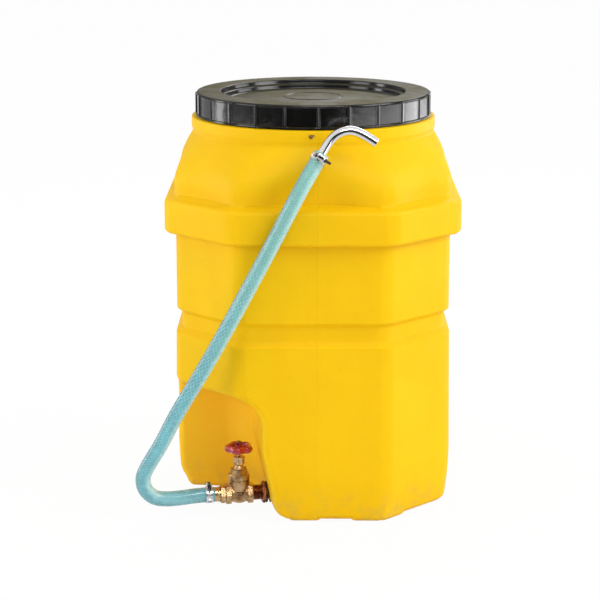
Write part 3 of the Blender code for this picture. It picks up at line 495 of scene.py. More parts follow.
def helix(radius, away, low, high, turns):
    """A thread ridge that runs round the Z axis from one height to another."""
    steps = int(120 * turns)
    line = []
    for step in range(steps + 1):
        turn = FULL_TURN * turns * step / steps
        line.append(Vector((away * math.cos(turn), away * math.sin(turn), low + (high - low) * step / steps)))
    return tube(radius, line, 8)


# Finishes


def feed(material, socket, value):
    """Links an output to a socket, or sets the socket to a number or a colour."""
    if isinstance(value, bpy.types.NodeSocket):
        material.node_tree.links.new(value, socket)
    else:
        socket.default_value = (*value, 1)[:4] if socket.type == "RGBA" else value


def add(material, kind, **values):
    """Adds a node and gives its outputs: a capital names an input, to set or to link, and the rest are settings."""
    made = material.node_tree.nodes.new("ShaderNode" + kind)
    for key, value in values.items():
        if key[0].islower():
            setattr(made, key, value)
        else:
            feed(material, made.inputs[key.replace("_", " ")], value)
    return made.outputs


def sums(material, operation, *values):
    """A Math node on numbers and outputs, and one more for each value past the second."""
    made = material.node_tree.nodes.new("ShaderNodeMath")
    made.operation = operation
    for socket, value in zip(made.inputs, values[:2]):
        feed(material, socket, value)
    if values[2:]:
        return sums(material, operation, made.outputs[0], *values[2:])
    return made.outputs[0]


def times(material, *values):
    return sums(material, "MULTIPLY", *values)


def away_from(material, value, centre):
    """How far a value is from a centre, on either side."""
    return sums(material, "ABSOLUTE", sums(material, "SUBTRACT", value, centre))


def blend(material, share, first, second):
    """Mixes two colours."""
    made = material.node_tree.nodes.new("ShaderNodeMix")
    made.data_type = "RGBA"
    factor, colour_a, colour_b = made.inputs[0], made.inputs[6], made.inputs[7]
    for socket, value in ((factor, share), (colour_a, first), (colour_b, second)):
        feed(material, socket, value)
    return made.outputs[2]


def grain(material, scale, detail, stretch=(1, 1, 1)):
    """Noise on the object's own coordinates."""
    place = add(material, "TexCoord")["Object"]
    if stretch != (1, 1, 1):
        place = add(material, "Mapping", Vector=place, Scale=stretch)["Vector"]
    return add(material, "TexNoise", Vector=place, Scale=scale, Detail=detail, Roughness=0.55)["Fac"]


def between(material, value, low, high, start=0, end=1, kind="SMOOTHSTEP"):
    """Turns the values from low to high into start to end."""
    limits = {"From_Min": low, "From_Max": high, "To_Min": start, "To_Max": end}
    return add(material, "MapRange", interpolation_type=kind, Value=value, **limits)["Result"]


def noise(material, scale, detail, low, high, start=0, end=1, stretch=(1, 1, 1)):
    """Noise whose values from low to high are spread from start to end."""
    return between(material, grain(material, scale, detail, stretch), low, high, start, end)


def relief(material, height, depth, strength=1, under=None):
    """A bump, on top of another one if that is given."""
    values = {"Normal": under} if under else {}
    return add(material, "Bump", Height=height, Distance=depth, Strength=strength, **values)["Normal"]


def axis(material, letter, kind="Object"):
    place = add(material, "TexCoord")[kind]
    return add(material, "SeparateXYZ", Vector=place)[letter]


def shade(colour, factor):
    return tuple(min(1, part * factor) for part in colour)


def new_finish(name, metallic=0, **sockets):
    """A material whose shader has these constants."""
    material = bpy.data.materials.new(name)
    material.use_nodes = True
    shader = material.node_tree.nodes["Principled BSDF"]
    shader.inputs["Metallic"].default_value = metallic
    for key, value in sockets.items():
        shader.inputs[key.replace("_", " ")].default_value = value
    return material


def set_finish(material, colour, roughness, normal, **more):
    """Links colour, roughness, relief and any more outputs to the shader."""
    inputs = material.node_tree.nodes["Principled BSDF"].inputs
    for name, value in {"Base Color": colour, "Roughness": roughness, "Normal": normal, **more}.items():
        material.node_tree.links.new(value, inputs[name.replace("_", " ")])
    return material


def tank_plastic(sizes):
    """Yellow blow-moulded plastic: cloudy colour, flow streaks, orange peel, a parting line, dust at the foot and
    painted bounce light in the recess.
    """
    m = new_finish(
        "tank plastic", Specular_IOR_Level=0.09, Subsurface_Weight=0.2, Subsurface_Radius=(0.02, 0.009, 0.001),
        Subsurface_Scale=1,
    )
    colour = sizes.colour
    cloud = noise(m, 5, 3, 0.35, 0.65)
    streak = noise(m, 22, 4, 0.35, 0.7, stretch=(1, 1, 0.08))
    speck = noise(m, 170, 2, 0.66, 0.74)
    base = blend(m, cloud, shade(colour, 0.965), shade(colour, 1.02))
    base = blend(m, times(m, streak, 0.35), base, (colour[0] * 0.99, colour[1] * 0.93, colour[2]))
    base = blend(m, times(m, speck, 0.25), base, shade(colour, 0.72))
    aside, deep, height = axis(m, "X"), axis(m, "Y"), axis(m, "Z")
    # Painted light: the recess is painted warmer and lighter, standing in for light bounced between its yellow walls.
    recess_bounce_mask = (
        between(m, deep, -0.225, -0.15),
        between(m, deep, -0.06, -0.045, 1, 0),
        between(m, height, 0.195, 0.225, 1, 0),
        between(m, aside, -0.085, -0.066, 1, 0),
    )
    painted_recess_bounce = (colour[0] * 1.09, colour[1] * 1.01, colour[2] + 0.016)
    base = blend(m, times(m, *recess_bounce_mask), base, painted_recess_bounce)
    low = between(m, height, 0, 0.075, 1, 0)
    dusty = times(m, low, noise(m, 38, 6, 0.4, 0.75))
    base = blend(m, times(m, dusty, 0.5), base, sizes.dust)
    scratch = noise(m, 60, 3, 0.66, 0.72, stretch=(1, 1, 9))
    off_belt = between(m, away_from(m, height, 0.51), 0.022, 0.036, 0.25, 1)
    base = blend(m, times(m, scratch, off_belt, 0.22), base, shade(colour, 1.08))
    rough = noise(m, 30, 4, 0.3, 0.7, 0.42, 0.54)
    seam = between(m, away_from(m, aside, 0.0086), 0.0004, 0.0014, 1, 0)
    normal = relief(m, grain(m, 11, 2), 0.01, 0.35)
    normal = relief(m, grain(m, 300, 3), 0.0006, 0.35, normal)
    normal = relief(m, seam, 0.0005, 0.7, normal)
    return set_finish(m, base, rough, normal)


def lid_plastic(sizes):
    """Glossy black plastic with a dusty film on what faces up."""
    m = new_finish("lid plastic")
    up = between(m, axis(m, "Z", "Normal"), 0.75, 0.98)
    patches = noise(m, 16, 5, 0.3, 0.72, 0.55, 1)
    film = times(m, up, patches)
    fine = noise(m, 220, 3, 0.45, 0.75)
    base = blend(m, film, sizes.colour, sizes.film)
    base = blend(m, times(m, fine, up, 0.35), base, shade(sizes.film, 1.7))
    smear = noise(m, 42, 4, 0.45, 0.75, 0, 0.1, stretch=(1, 1, 0.25))
    rough = sums(m, "ADD", smear, 0.13, times(m, film, 0.38))
    normal = relief(m, grain(m, 35, 2), 0.0016, 0.35)
    normal = relief(m, grain(m, 420, 3), 0.0003, 0.25, normal)
    return set_finish(m, base, rough, normal, Specular_IOR_Level=between(m, film, 0, 1, 0.42, 0.1))


def hose_plastic(sizes):
    """Clear blue-green hose with two layers of crossing threads in its wall, a painted highlight on the side facing +X
    and painted shade on the side facing -X.
    """
    m = new_finish(
        "hose plastic", Transmission_Weight=0.1, Subsurface_Weight=0.1, Subsurface_Radius=(0.002, 0.004, 0.005),
        Subsurface_Scale=1, Coat_Weight=0.6, Coat_Roughness=0.08, IOR=1.45,
    )
    place = add(m, "SeparateXYZ", Vector=add(m, "TexCoord")["UV"])
    around = times(m, place["Y"], sizes.threads)
    threads = []
    for way in (1, -1):
        phase = sums(m, "ADD", times(m, place["X"], sizes.crossings * way), around)
        threads.append(between(m, sums(m, "PINGPONG", phase, 0.5), 0.06, 0.16, 1, 0))
    braid = sums(m, "MAXIMUM", *threads)
    cloud = noise(m, 60, 3, 0.3, 0.7)
    base = blend(m, cloud, shade(sizes.colour, 0.85), shade(sizes.colour, 1.1))
    # Greener and less blue towards the top.
    greener_up_high = tuple(part * share for part, share in zip(sizes.colour, (1.7, 1.08, 0.76)))
    base = blend(m, between(m, axis(m, "Z"), 0.15, 0.6, 0, 0.8), base, greener_up_high)
    # Painted highlight and shade: the side whose normal faces +X is painted paler, the side facing -X darker.
    painted_light_side = axis(m, "X", "Normal")
    base = blend(m, between(m, painted_light_side, 0.15, 0.85, 0, 0.7), base, shade(sizes.thread, 1.2))
    base = blend(m, between(m, painted_light_side, -0.95, -0.3, 0.75, 0), base, shade(sizes.colour, 0.4))
    base = blend(m, times(m, braid, 0.42), base, sizes.thread)
    rough = noise(m, 90, 3, 0.3, 0.7, 0.2, 0.34)
    normal = relief(m, sums(m, "ADD", *threads), 0.0002, 0.6)
    return set_finish(m, base, rough, normal)


def metal(name, colour, rough, tarnish, spots=120, pits=900, depth=0.00025, stretch=(1, 1, 1)):
    """Bare metal with tarnish in patches and a fine surface."""
    m = new_finish(name, metallic=1)
    patch = noise(m, spots, 6, 0.42, 0.68)
    base = blend(m, patch, shade(colour, 1.12), tarnish)
    fleck = noise(m, spots * 6, 2, 0.62, 0.72)
    base = blend(m, times(m, fleck, 0.5), base, shade(tarnish, 0.6))
    wear = noise(m, spots * 2, 4, 0.3, 0.7, rough, rough + 0.2, stretch=stretch)
    normal = relief(m, grain(m, pits, 3, stretch), depth, 0.8)
    return set_finish(m, base, wear, normal)


def machined_brass(name, sizes):
    """The valve's metal where it is turned or milled."""
    return metal(name, shade(sizes.bronze, 1.15), 0.14, (0.36, 0.21, 0.09), spots=130, pits=1200, depth=0.0001)


def chrome_plate():
    """Bright plate with faint wiped smears."""
    m = new_finish("spout chrome", metallic=1)
    smear = noise(m, 38, 4, 0.35, 0.75, stretch=(1, 1, 0.4))
    base = blend(m, smear, (0.9, 0.9, 0.92), (0.8, 0.81, 0.83))
    rough = sums(m, "ADD", times(m, smear, 0.07), 0.05)
    return set_finish(m, base, rough, relief(m, grain(m, 30, 1), 0.0008, 0.1))


def wheel_paint(sizes):
    """Glossy crimson paint on cast iron, chipped in small spots."""
    m = new_finish("wheel paint", Coat_Weight=1, Coat_Roughness=0.05)
    tone = noise(m, 150, 4, 0.3, 0.7)
    chip = noise(m, 420, 5, 0.66, 0.69)
    base = blend(m, tone, shade(sizes.paint, 0.8), shade(sizes.paint, 1.15))
    base = blend(m, chip, base, (0.1, 0.035, 0.022))
    rough = sums(m, "ADD", times(m, chip, 0.4), 0.28)
    normal = relief(m, sums(m, "SUBTRACT", grain(m, 700, 3), chip), 0.0002, 0.6)
    return set_finish(m, base, rough, normal)


def moulded(name, colour, rough, size=400):
    """Dull plastic, rubber or cord with a fine grain."""
    m = new_finish(name)
    fine = noise(m, size, 4, 0.35, 0.7)
    base = blend(m, fine, shade(colour, 0.75), shade(colour, 1.4))
    worn = noise(m, size / 3, 4, 0.3, 0.7, rough - 0.08, rough + 0.08)
    return set_finish(m, base, worn, relief(m, fine, 0.0002, 0.7))


# The tank


def recess_tool():
    """The space that the recess takes out of the tank, with its inner corners rounded."""
    back, top, slope = -0.065, 0.218, math.tan(OUTLET_TURN)
    wall = WALL_SEAT.x - (back - WALL_SEAT.y) * slope
    tool = block((-0.3, -0.3, -0.05), (wall, back, top))
    open_up(tool)
    pick("VERT", lambda corner: corner.co.x > -0.2 and corner.co.y < -0.2)
    bpy.ops.transform.translate(value=((back + 0.3) * slope, 0, 0))
    pick("EDGE", lambda edge: all(corner.co.x > -0.2 and corner.co.z > 0.1 for corner in edge.verts))
    bevel(0.055, 10)
    pick("EDGE", lambda edge: all(corner.co.y > -0.066 for corner in edge.verts) and middle(edge).z > -0.04)
    bevel(0.05, 10)
    for height in (0.019, 0.045, 0.127):
        pick_all()
        bpy.ops.mesh.bisect(plane_co=(0, 0, height), plane_no=(0, 0, 1))
    for low, high, shift in ((0.1, 1, -0.017), (-1, 0.02, 0.004), (-1, 0, 0.05)):
        pick("VERT", lambda corner: corner.co.x > -0.2 and low < corner.co.z < high)
        bpy.ops.transform.translate(value=(shift, 0, 0))
    put_down()
    return tool


def feet(half, corner):
    """Low soft-edged feet: two at the front, two at the back and three under cut corners."""
    foot = block((-0.031, -half + 0.002, 0), (0.031, 0.05 - half, 0.05), 0.012, 6)
    places = [Matrix.Translation((along, 0, 0)) for along in (-0.0135, 0.093)]
    places += [about("Z", math.pi) @ Matrix.Translation((along, 0, 0)) for along in (-0.093, 0.093)]
    out = half - (2 * half - corner) / math.sqrt(2)
    for eighth, along in ((1, -0.052), (3, 0.052), (5, -0.052)):
        places.append(about("Z", math.pi / 4 * eighth) @ Matrix.Translation((along, out, 0.0005)))
    return copies(foot, places)


def cut_recess(tank, mouth):
    """Cuts the recess and rounds its mouth."""
    tank.data.materials.append(bpy.data.materials.new("outside"))
    recess = recess_tool()
    recess.data.materials.append(bpy.data.materials.new("recess"))
    cut_away(tank, recess)
    open_up(tank)
    pick("EDGE", lambda edge: len({face.material_index for face in edge.link_faces}) == 2)
    bpy.ops.mesh.bevel(offset=mouth, segments=6, affect="EDGES", clamp_overlap=False, loop_slide=False)
    relax((-0.124, -0.227, 0.218), 0.012, 2)
    relax((-0.057, -0.2215, 0.011), 0.014, 12)
    # The worn lower rear corner
    pick("VERT", lambda corner: corner.co.z < 0.012 and corner.co.x < -0.212 and -0.075 < corner.co.y < -0.03)
    press(Vector((0.9, 0, 0.35)), 0.01, 0.034)


def raise_shoulder(tank, half):
    """Draws the octagon in to the round collar and neck, ring by ring."""
    mesh = bmesh.from_edit_mesh(tank.data)
    cap = next(face for face in mesh.faces if face.select)
    shortest, same = 0.05, 0.00001
    long_edges = {edge.index for edge in cap.edges if edge.calc_length() > shortest}
    pick("EDGE", lambda edge: edge.index in long_edges)
    bpy.ops.mesh.subdivide(number_cuts=9)
    top = max(corner.co.z for corner in bmesh.from_edit_mesh(tank.data).verts)
    pick("FACE", lambda face: all(corner.co.z > top - same for corner in face.verts))
    straight, high, done = 0.57, 0.64, 0
    for height in (0.553, 0.559, 0.566, 0.574, 0.583, 0.592, 0.601, 0.609, 0.617, 0.624, 0.63, 0.6355, high):
        share = max(0, (height - straight) / (high - straight))
        swell = 0.0008 + 0.002 * min(1, (height - 0.5492) / 0.04)
        wanted = 0.96 * share**1.6
        raise_to(height, half + swell - 0.0256 * share**1.7, (wanted - done) / (1 - done))
        done = wanted
    for height, reach in mm(
        (642.5, 210.2), (645, 210), (647.5, 210.6), (650, 211.5), (653, 212), (666.5, 212), (668.5, 211.4),
        (669.5, 209.8), (669.6, 192.5), (670.5, 191.2), (702.5, 191), (703.8, 190.2), (704, 189), (703.8, 186.6),
        (702.5, 186),
    ):
        raise_to(height, reach, 1)
    bpy.ops.mesh.delete(type="FACE")


def press_dents(deepest):
    """Presses a shallow dent into each face just above the belt."""
    # The side, the middle and reach along it, the depth and the spread
    dents = [(side, 0, 0.06, deepest, 0.042) for side in (0, 2, 4, 6)]
    dents += [(side, 0, 0.022, deepest * 0.4, 0.05) for side in (1, 3, 5, 7)]
    dents.append((6, -0.076, 0.012, deepest * 0.5, 0.028))
    for side, centre, reach, depth, spread in dents:
        out = about("Z", math.pi / 4 * side) @ Vector((1, 0, 0))
        along = Vector((-out.y, out.x, 0))

        def in_dent(corner):
            on_side = 0.5515 < corner.co.z < 0.567 and corner.co.dot(out) > 0.18
            return on_side and abs(corner.co.dot(along) - centre) < reach

        pick("VERT", in_dent)
        press(-out, depth, spread)


class WATERTANK_OT_tank(bpy.types.Operator):
    """Models the moulded tank with its recess, groove, belt, shoulder and neck"""

    bl_idname = "water_tank.tank"
    bl_label = "Tank"

    def execute(self, context):
        sizes = context.scene.tank_sizes
        half = sizes.width / 2
        floor, radius, curve = 0.003, 0.0135, 6
        base = half - 0.0015
        corner_rounding = 0.0157
        groove_foot = 0.3077

        put_down()
        bpy.ops.mesh.primitive_plane_add(size=sizes.width, location=(0, 0, floor))
        tank = context.object
        bpy.ops.object.transform_apply()
        open_up(tank)
        bpy.ops.mesh.bevel(offset=sizes.corner, segments=1, affect="VERTICES")
        pick_all()
        bpy.ops.mesh.bevel(offset=corner_rounding, segments=8, affect="VERTICES", profile=0.5)
        pick_all()
        shrink = (base - radius) / half
        bpy.ops.transform.resize(value=(shrink, shrink, 1), center_override=(0, 0, floor))
        for step in range(1, curve + 1):
            turn = math.pi / 2 * step / curve
            raise_to(floor + radius * (1 - math.cos(turn)), base - radius * (1 - math.sin(turn)))
        for height, flare in ((0.034, 0.0005), (0.05, 0.0022), (0.07, 0.0034), (0.095, 0.0044), (groove_foot, 0.0016)):
            raise_to(height, half + flare)
        pick_all()
        bpy.ops.mesh.normals_make_consistent(inside=False)
        put_down()
        cut_recess(tank, sizes.mouth)

        open_up(tank)
        pick("FACE", lambda face: middle(face).z > groove_foot - 0.0001)
        deep, out = half - sizes.groove, half + sizes.belt
        for height, reach in (
            (0.3095, half - 0.0006), (0.3165, deep + 0.0007), (0.3185, deep), (0.3405, deep), (0.3425, deep + 0.0007),
            (0.3492, half - 0.0006), (0.3512, half), (0.4832, half), (0.4834, out - 0.008), (0.4844, out - 0.004),
            (0.4872, out - 0.001), (0.4908, out), (0.535, out), (0.5382, out - 0.0006), (0.5402, out - 0.002),
            (0.5416, out - 0.0042), (0.5432, half + 0.0088), (0.5446, half + 0.0054), (0.5466, half + 0.0028),
            (0.5492, half + 0.0012),
        ):
            raise_to(height, reach)
        raise_shoulder(tank, half)
        press_dents(sizes.dent)
        face_outwards()
        put_down()
        cut_away(tank, *feet(half, sizes.corner), operation="UNION")
        apply_modifier(tank, "SOLIDIFY", thickness=sizes.wall, offset=-1, use_quality_normals=True)
        drill(tank, 0.0135, -0.08, -0.03, ALONG_OUTLET)
        join(tank, helix(radius=0.0028, away=0.1917, low=0.684, high=0.699, turns=1.5))
        finish_piece(tank, "tank", "tank", "tank_plastic", tank_plastic(sizes), "tank_shell")
        return {"FINISHED"}


# The lid


class WATERTANK_OT_lid(bpy.types.Operator):
    """Models the screw lid with its ribbed skirt and dished top"""

    bl_idname = "water_tank.lid"
    bl_label = "Lid"

    def execute(self, context):
        sizes = context.scene.lid_sizes
        columns = 12
        sector = FULL_TURN / sizes.ribs
        column = sector / columns
        lid = turned(mm(
            (0, 701), (30, 700.9), (47, 700.4), (47.8, 701.1), (49, 701.6), (50.4, 701.6), (51.6, 701.1),
            (52.4, 700.3), (80, 699.3), (115, 697.3), (144, 694.6), (149, 694.2), (151.2, 694.6), (152.6, 696),
            (153.2, 697.5), (153.8, 701), (154.4, 702), (155.6, 702.6), (156.8, 702.7), (158, 703), (158.8, 704),
            (159.2, 705.2), (160, 709), (160.6, 710.2), (161.8, 710.9), (164, 711), (198, 711), (200.6, 710.8),
            (202.2, 710), (203.2, 708.6), (203.5, 707), (203.5, 675.2), (203.8, 674.4), (204.7, 673.3),
            (205.1, 672.2), (205, 671), (204, 670.5), (199.2, 670.5), (198.6, 671), (198.5, 704), (197, 706.4),
            (194, 707), (168, 707), (165.6, 706.4), (164.6, 705), (163.6, 699.6), (162.4, 698.6), (159.6, 698.2),
            (158, 697.2), (156.6, 692.2), (155, 690.8), (150, 690.2), (144, 690.6), (115, 693.3), (80, 695.3),
            (30, 696.9), (0, 697),
        ), sizes.ribs * columns)
        open_up(lid)

        def on_panel(face):
            spot = middle(face)
            turn = math.atan2(spot.y, spot.x) % sector
            return spot.xy.length > 0.203 and 0.6735 < spot.z < 0.7068 and abs(turn - column / 2) > column * 0.9

        pick("FACE", on_panel)
        inset(0.0021, -sizes.panel)
        put_down()
        rib = block((0.2012, -sizes.rib_width / 2, 0.6712), (0.2052, sizes.rib_width / 2, 0.7086), 0.0016, 4)
        ribs = copies(rib, [about("Z", sector * number + column / 2) for number in range(sizes.ribs)])
        join(lid, *ribs, helix(radius=0.0022, away=0.1988, low=0.676, high=0.691, turns=1.5))
        set_down_at(lid, about("Z", math.radians(2) - column / 2))
        finish_piece(lid, "lid", "lid", "lid_plastic", lid_plastic(sizes), "screw_lid")
        return {"FINISHED"}


# The hose and what is on it


class WATERTANK_OT_hose(bpy.types.Operator):
    """Models the braided hose from the valve's nipple up to the spout"""

    bl_idname = "water_tank.hose"
    bl_label = "Hose"

    def execute(self, context):
        sizes = context.scene.hose_sizes
        hose = tube(sizes.diameter / 2, HOSE_LINE, 48)
        for end in (HOSE_START, HOSE_END):
            open_up(hose)
            pick("FACE", lambda face: len(face.verts) > 4 and (middle(face) - end).length < 0.002)
            inset(0.001)
            inset(0.0025, -0.0004)
        put_down()
        finish_piece(hose, "braided_hose", "tank", "hose_plastic", hose_plastic(sizes), "hose")
        return {"FINISHED"}


# A clamp's screw lies along X beside the hose
ALONG_SCREW = Matrix.Translation((0, 0.0179, 0)) @ about("Y", math.pi / 2)


def clamp_place(end, inward, housing_side):
    """Axes at a clamp: X along its screw, Y out to its housing, Z along the hose."""
    along = inward.normalized()
    out = (housing_side - along * housing_side.dot(along)).normalized()
    axes = Matrix((out.cross(along), out, along)).transposed().to_4x4()
    return Matrix.Translation(end + along * 0.009) @ axes


def make_band():
    """The slotted band and the arched housing of its screw."""
    inner, outer, half = 0.0134, 0.0143, 0.006
    rolled, lip = outer + 0.0005, half - 0.0005
    side = [(outer, 0.0023), (outer, half - 0.0013), (rolled, lip - 0.0004), (rolled, lip), (outer + 0.0004, half)]
    other_side = [(radius, -height) for radius, height in reversed(side)]
    band = turned([(inner, -half), *other_side, *side, (inner, half), (inner, -half)], 72)
    open_up(band)
    pick("FACE", lambda face: abs(middle(face).z) < 0.001 and middle(face).xy.length > outer - 0.0003)
    inset(0.00032, -0.0004, use_individual=True)
    put_down()
    housing = block((-0.007, 0.0139, -0.0045), (0.007, 0.0221, 0.0045))
    open_up(housing)
    pick("EDGE", lambda edge: middle(edge).y > 0.02 and run(edge).x > 0.01)
    bevel(0.0038, 6)
    put_down()
    drill(housing, 0.003, -0.02, 0.02, ALONG_SCREW, 32)
    cut_away(housing, block((-0.0042, 0.0195, -0.0016), (0.0042, 0.024, 0.0016)))
    soften(housing, 0.0003)
    join(band, housing)
    return band


def make_key():
    """The worm screw with its black thumb key."""
    root, crest, pitch, low, high = 0.0021, 0.0026, 0.0012, -0.0068, 0.0068
    turns = int((high - low) / pitch)
    thread = thread_profile(low, pitch, turns, ((root, 0), (crest, 0.35), (crest, 0.6), (root, 0.95)))
    foot = mm((0, -9.8), (3, -9.8), (3.6, -9.2), (3.6, -7.8), (3.3, -7.3))
    head = mm((3.3, 7.3), (3.6, 7.8), (3.6, 10), (3, 10.4), (0, 10.4))
    key = turned([*foot, (root, foot[-1][1]), *thread, (root, head[0][1]), *head], 28)
    cut_away(key, block((-0.0005, -0.005, -0.011), (0.0005, 0.005, -0.009)))
    wing = block((-0.0015, -0.006, 0.0098), (0.0015, 0.006, 0.019))
    open_up(wing)
    pick("EDGE", lambda edge: run(edge).x > 0.002 and middle(edge).z > 0.018)
    bevel(0.0036, 5)
    pick("FACE", lambda face: abs(face.normal.x) > 0.9)
    inset(0.001, -0.0005)
    put_down()
    soften(wing, 0.0003)
    join(key, wing)
    set_down_at(key, ALONG_SCREW)
    return key


class WATERTANK_OT_clamps(bpy.types.Operator):
    """Models the two worm-drive clamps, each with its band, housing, screw and thumb key"""

    bl_idname = "water_tank.clamps"
    bl_label = "Hose clamps"

    def execute(self, context):
        steel = metal(
            "clamp steel", (0.74, 0.74, 0.75), 0.18, (0.5, 0.5, 0.5), spots=160, pits=600, depth=0.0001,
            stretch=(1, 1, 0.1),
        )
        black = moulded("key plastic", (0.01, 0.01, 0.011), 0.42)
        places = (
            clamp_place(HOSE_START, HOSE_LINE[1] - HOSE_LINE[0], Vector((0, 0, 1))),
            clamp_place(HOSE_END, -HOSE_AIM, Vector((0, -1, 0))),
        )
        for name, band in zip(("lower", "upper"), copies(make_band(), places)):
            finish_piece(band, name + "_band", "tank", "clamp_steel", steel, name + "_clamp_band")
        for name, key in zip(("lower", "upper"), copies(make_key(), places)):
            finish_piece(key, name + "_key", name + "_screw", "key_plastic", black, name + "_clamp_screw")
        return {"FINISHED"}


class WATERTANK_OT_spout(bpy.types.Operator):
    """Models the bent spout at the hose's upper end"""

    bl_idname = "water_tank.spout"
    bl_label = "Spout"

    def execute(self, context):
        start = HOSE_END + HOSE_AIM * 0.0003
        bends = [HOSE_END + Vector(place) for place in SPOUT_BENDS]
        line = [start, start + HOSE_AIM * 0.005, *smooth_line([start + HOSE_AIM * 0.01, *bends], 10)]
        spout = tube(0.0083, line, 48)
        open_up(spout)
        pick("FACE", lambda face: len(face.verts) > 4 and (middle(face) - line[-1]).length < 0.002)
        inset(0.0004, 0.0003)
        inset(0.0005)
        inset(0.0003, -0.0003)
        for step in range(6):
            bpy.ops.mesh.extrude_region_move(TRANSFORM_OT_translate={"value": (line[-2 - step] - line[-1 - step])})
        put_down()
        finish_piece(spout, "spout_pipe", "tank", "spout_chrome", chrome_plate(), "spout")
        return {"FINISHED"}


class WATERTANK_OT_hook(bpy.types.Operator):
    """Models the small wire hook on the collar"""

    bl_idname = "water_tank.hook"
    bl_label = "Hook"

    def execute(self, context):
        place = about("Z", math.radians(-91)) @ Matrix.Translation((0.2123, 0, 0.66025))
        route = mm((0.6, 0, 0), (4, 0, 0), (5.8, 0.8, 1.2), (6, 4.2, 3), (6, 7.2, 2.2))
        hook = tube(0.0011, smooth_line([place @ Vector(spot) for spot in route], 6), 12)
        soften(hook, 0.0004)
        plate = rod(0.0035, 0, 0.0012, 24, place @ about("Y", math.pi / 2))
        soften(plate, 0.0003)
        join(hook, plate)
        dull = metal("hook steel", (0.42, 0.3, 0.15), 0.35, (0.14, 0.07, 0.03), spots=300)
        finish_piece(hook, "hook", "tank", "clamp_steel", dull, "hose_hook")
        return {"FINISHED"}


# The outlet and its valve


class WATERTANK_OT_outlet(bpy.types.Operator):
    """Models the outlet pipe through the tank's wall, its lock nut and the hose nipple"""

    bl_idname = "water_tank.outlet"
    bl_label = "Outlet"

    def execute(self, context):
        sizes = context.scene.valve_sizes
        copper = metal("outlet copper", sizes.copper, 0.24, (0.11, 0.035, 0.016), spots=140)
        bore, crest, root = 0.0095, 0.0132, 0.0121
        low, high = -0.0686, -0.0123
        tooth = ((root, 0.06), (crest, 0.45), (crest, 0.6), (root, 0.98))
        thread = thread_profile(low, sizes.pitch, int((high - low) / sizes.pitch), tooth)
        pipe = turned([(bore, low), (root, low), *thread, (root, high), (bore, high), (bore, low)], 48, ALONG_OUTLET)
        finish_piece(pipe, "outlet_thread", "tank", "bronze", copper, "outlet_pipe", angle=25)
        nut = lock_nut(0.034, -0.0464, -0.0394, 0.0135)
        finish_piece(nut, "wall_nut", "tank", "bronze", copper, "outlet_outer_nut")

        brass = machined_brass("nipple brass", sizes)
        neck = turned(mm(
            (9.5, 12.5), (13.2, 12.5), (13.2, 30), (13.2, 33.5), (13.7, 34), (13.7, 35.8), (13.2, 36.3), (12.5, 37.2),
            (12.5, 39.2), (12.9, 39.6), (12.9, 40.2), (12.5, 40.6), (12.5, 43.3), (9.5, 43.3), (9.5, 12.5),
        ), 48, ALONG_OUTLET)
        join(neck, lock_nut(0.028, 0.0243, 0.0333, 0.01))
        finish_piece(neck, "nipple", "tank", "bronze", brass, "hose_nipple")
        return {"FINISHED"}


class WATERTANK_OT_valve(bpy.types.Operator):
    """Models the gate valve's cast body and bonnet, its gland nut and the wheel's nut"""

    bl_idname = "water_tank.valve"
    bl_label = "Gate valve"

    def execute(self, context):
        sizes = context.scene.valve_sizes
        cast = metal("cast bronze", sizes.bronze, 0.24, (0.26, 0.14, 0.06), spots=60, pits=600, depth=0.0004)
        bowl = turned(mm(
            (0, -15.5), (8, -15.5), (11, -14), (14.6, -7.5), (15, 0), (15.6, 8), (16.8, 15), (17.8, 18), (18.2, 20),
            (18.2, 26), (0, 26),
        ), 64, VALVE_PLACE)
        barrel = rod(0.0148, -0.0237, 0.0237, 48, ALONG_OUTLET)
        end = hexagon(0.032, 0.014, 0.024, about("Z", math.pi / 6), 0.0009)
        ends = copies(end, [ALONG_OUTLET, ALONG_OUTLET @ about("X", math.pi)])
        fuse([bowl, barrel, *ends])
        for radius, low, high in ((0.0095, -0.03, 0.03), (0.0135, 0.012, 0.04), (0.0135, -0.04, -0.012)):
            drill(bowl, radius, low, high, ALONG_OUTLET)
        drill(bowl, 0.0155, 0.0005, 0.04, VALVE_PLACE)
        finish_piece(bowl, "valve_casting", "tank", "bronze", cast, "valve_body")

        shell = turned(mm(
            (0, 26.3), (17.8, 26.3), (18.4, 26.9), (18.4, 35.8), (17.8, 36.7), (14, 37.3), (11.5, 37.6), (11.5, 45.8),
            (7.4, 51), (6.8, 52.4), (6.8, 59.8), (0, 59.8),
        ), 64, VALVE_PLACE)
        flats = hexagon(0.027, 0.0366, 0.0458, VALVE_PLACE, 0.0007)
        fuse([shell, flats], 0.0005, 3)
        for radius, low, high in ((0.0135, 0.02, 0.0339), (0.0052, 0.03, 0.07)):
            drill(shell, radius, low, high, VALVE_PLACE)
        finish_piece(shell, "valve_bonnet_casting", "tank", "bronze", cast, "valve_bonnet")

        brass = machined_brass("machined brass", sizes)
        nut = lock_nut(0.018, 0.0538, 0.0672, 0.0036, VALVE_PLACE, 0.0014)
        drill(nut, 0.0071, 0.05, 0.0637, VALVE_PLACE, 32)
        finish_piece(nut, "gland_cap", "tank", "bronze", brass, "gland_nut")
        top = lock_nut(0.011, 0.0885, 0.0935, 0.0033, VALVE_PLACE, 0.001)
        worn = metal("worn nut", (0.36, 0.1, 0.07), 0.24, (0.1, 0.02, 0.016), spots=260, pits=1200, depth=0.0001)
        finish_piece(top, "wheel_nut", "handwheel", "bronze", worn, "handwheel_nut")
        return {"FINISHED"}


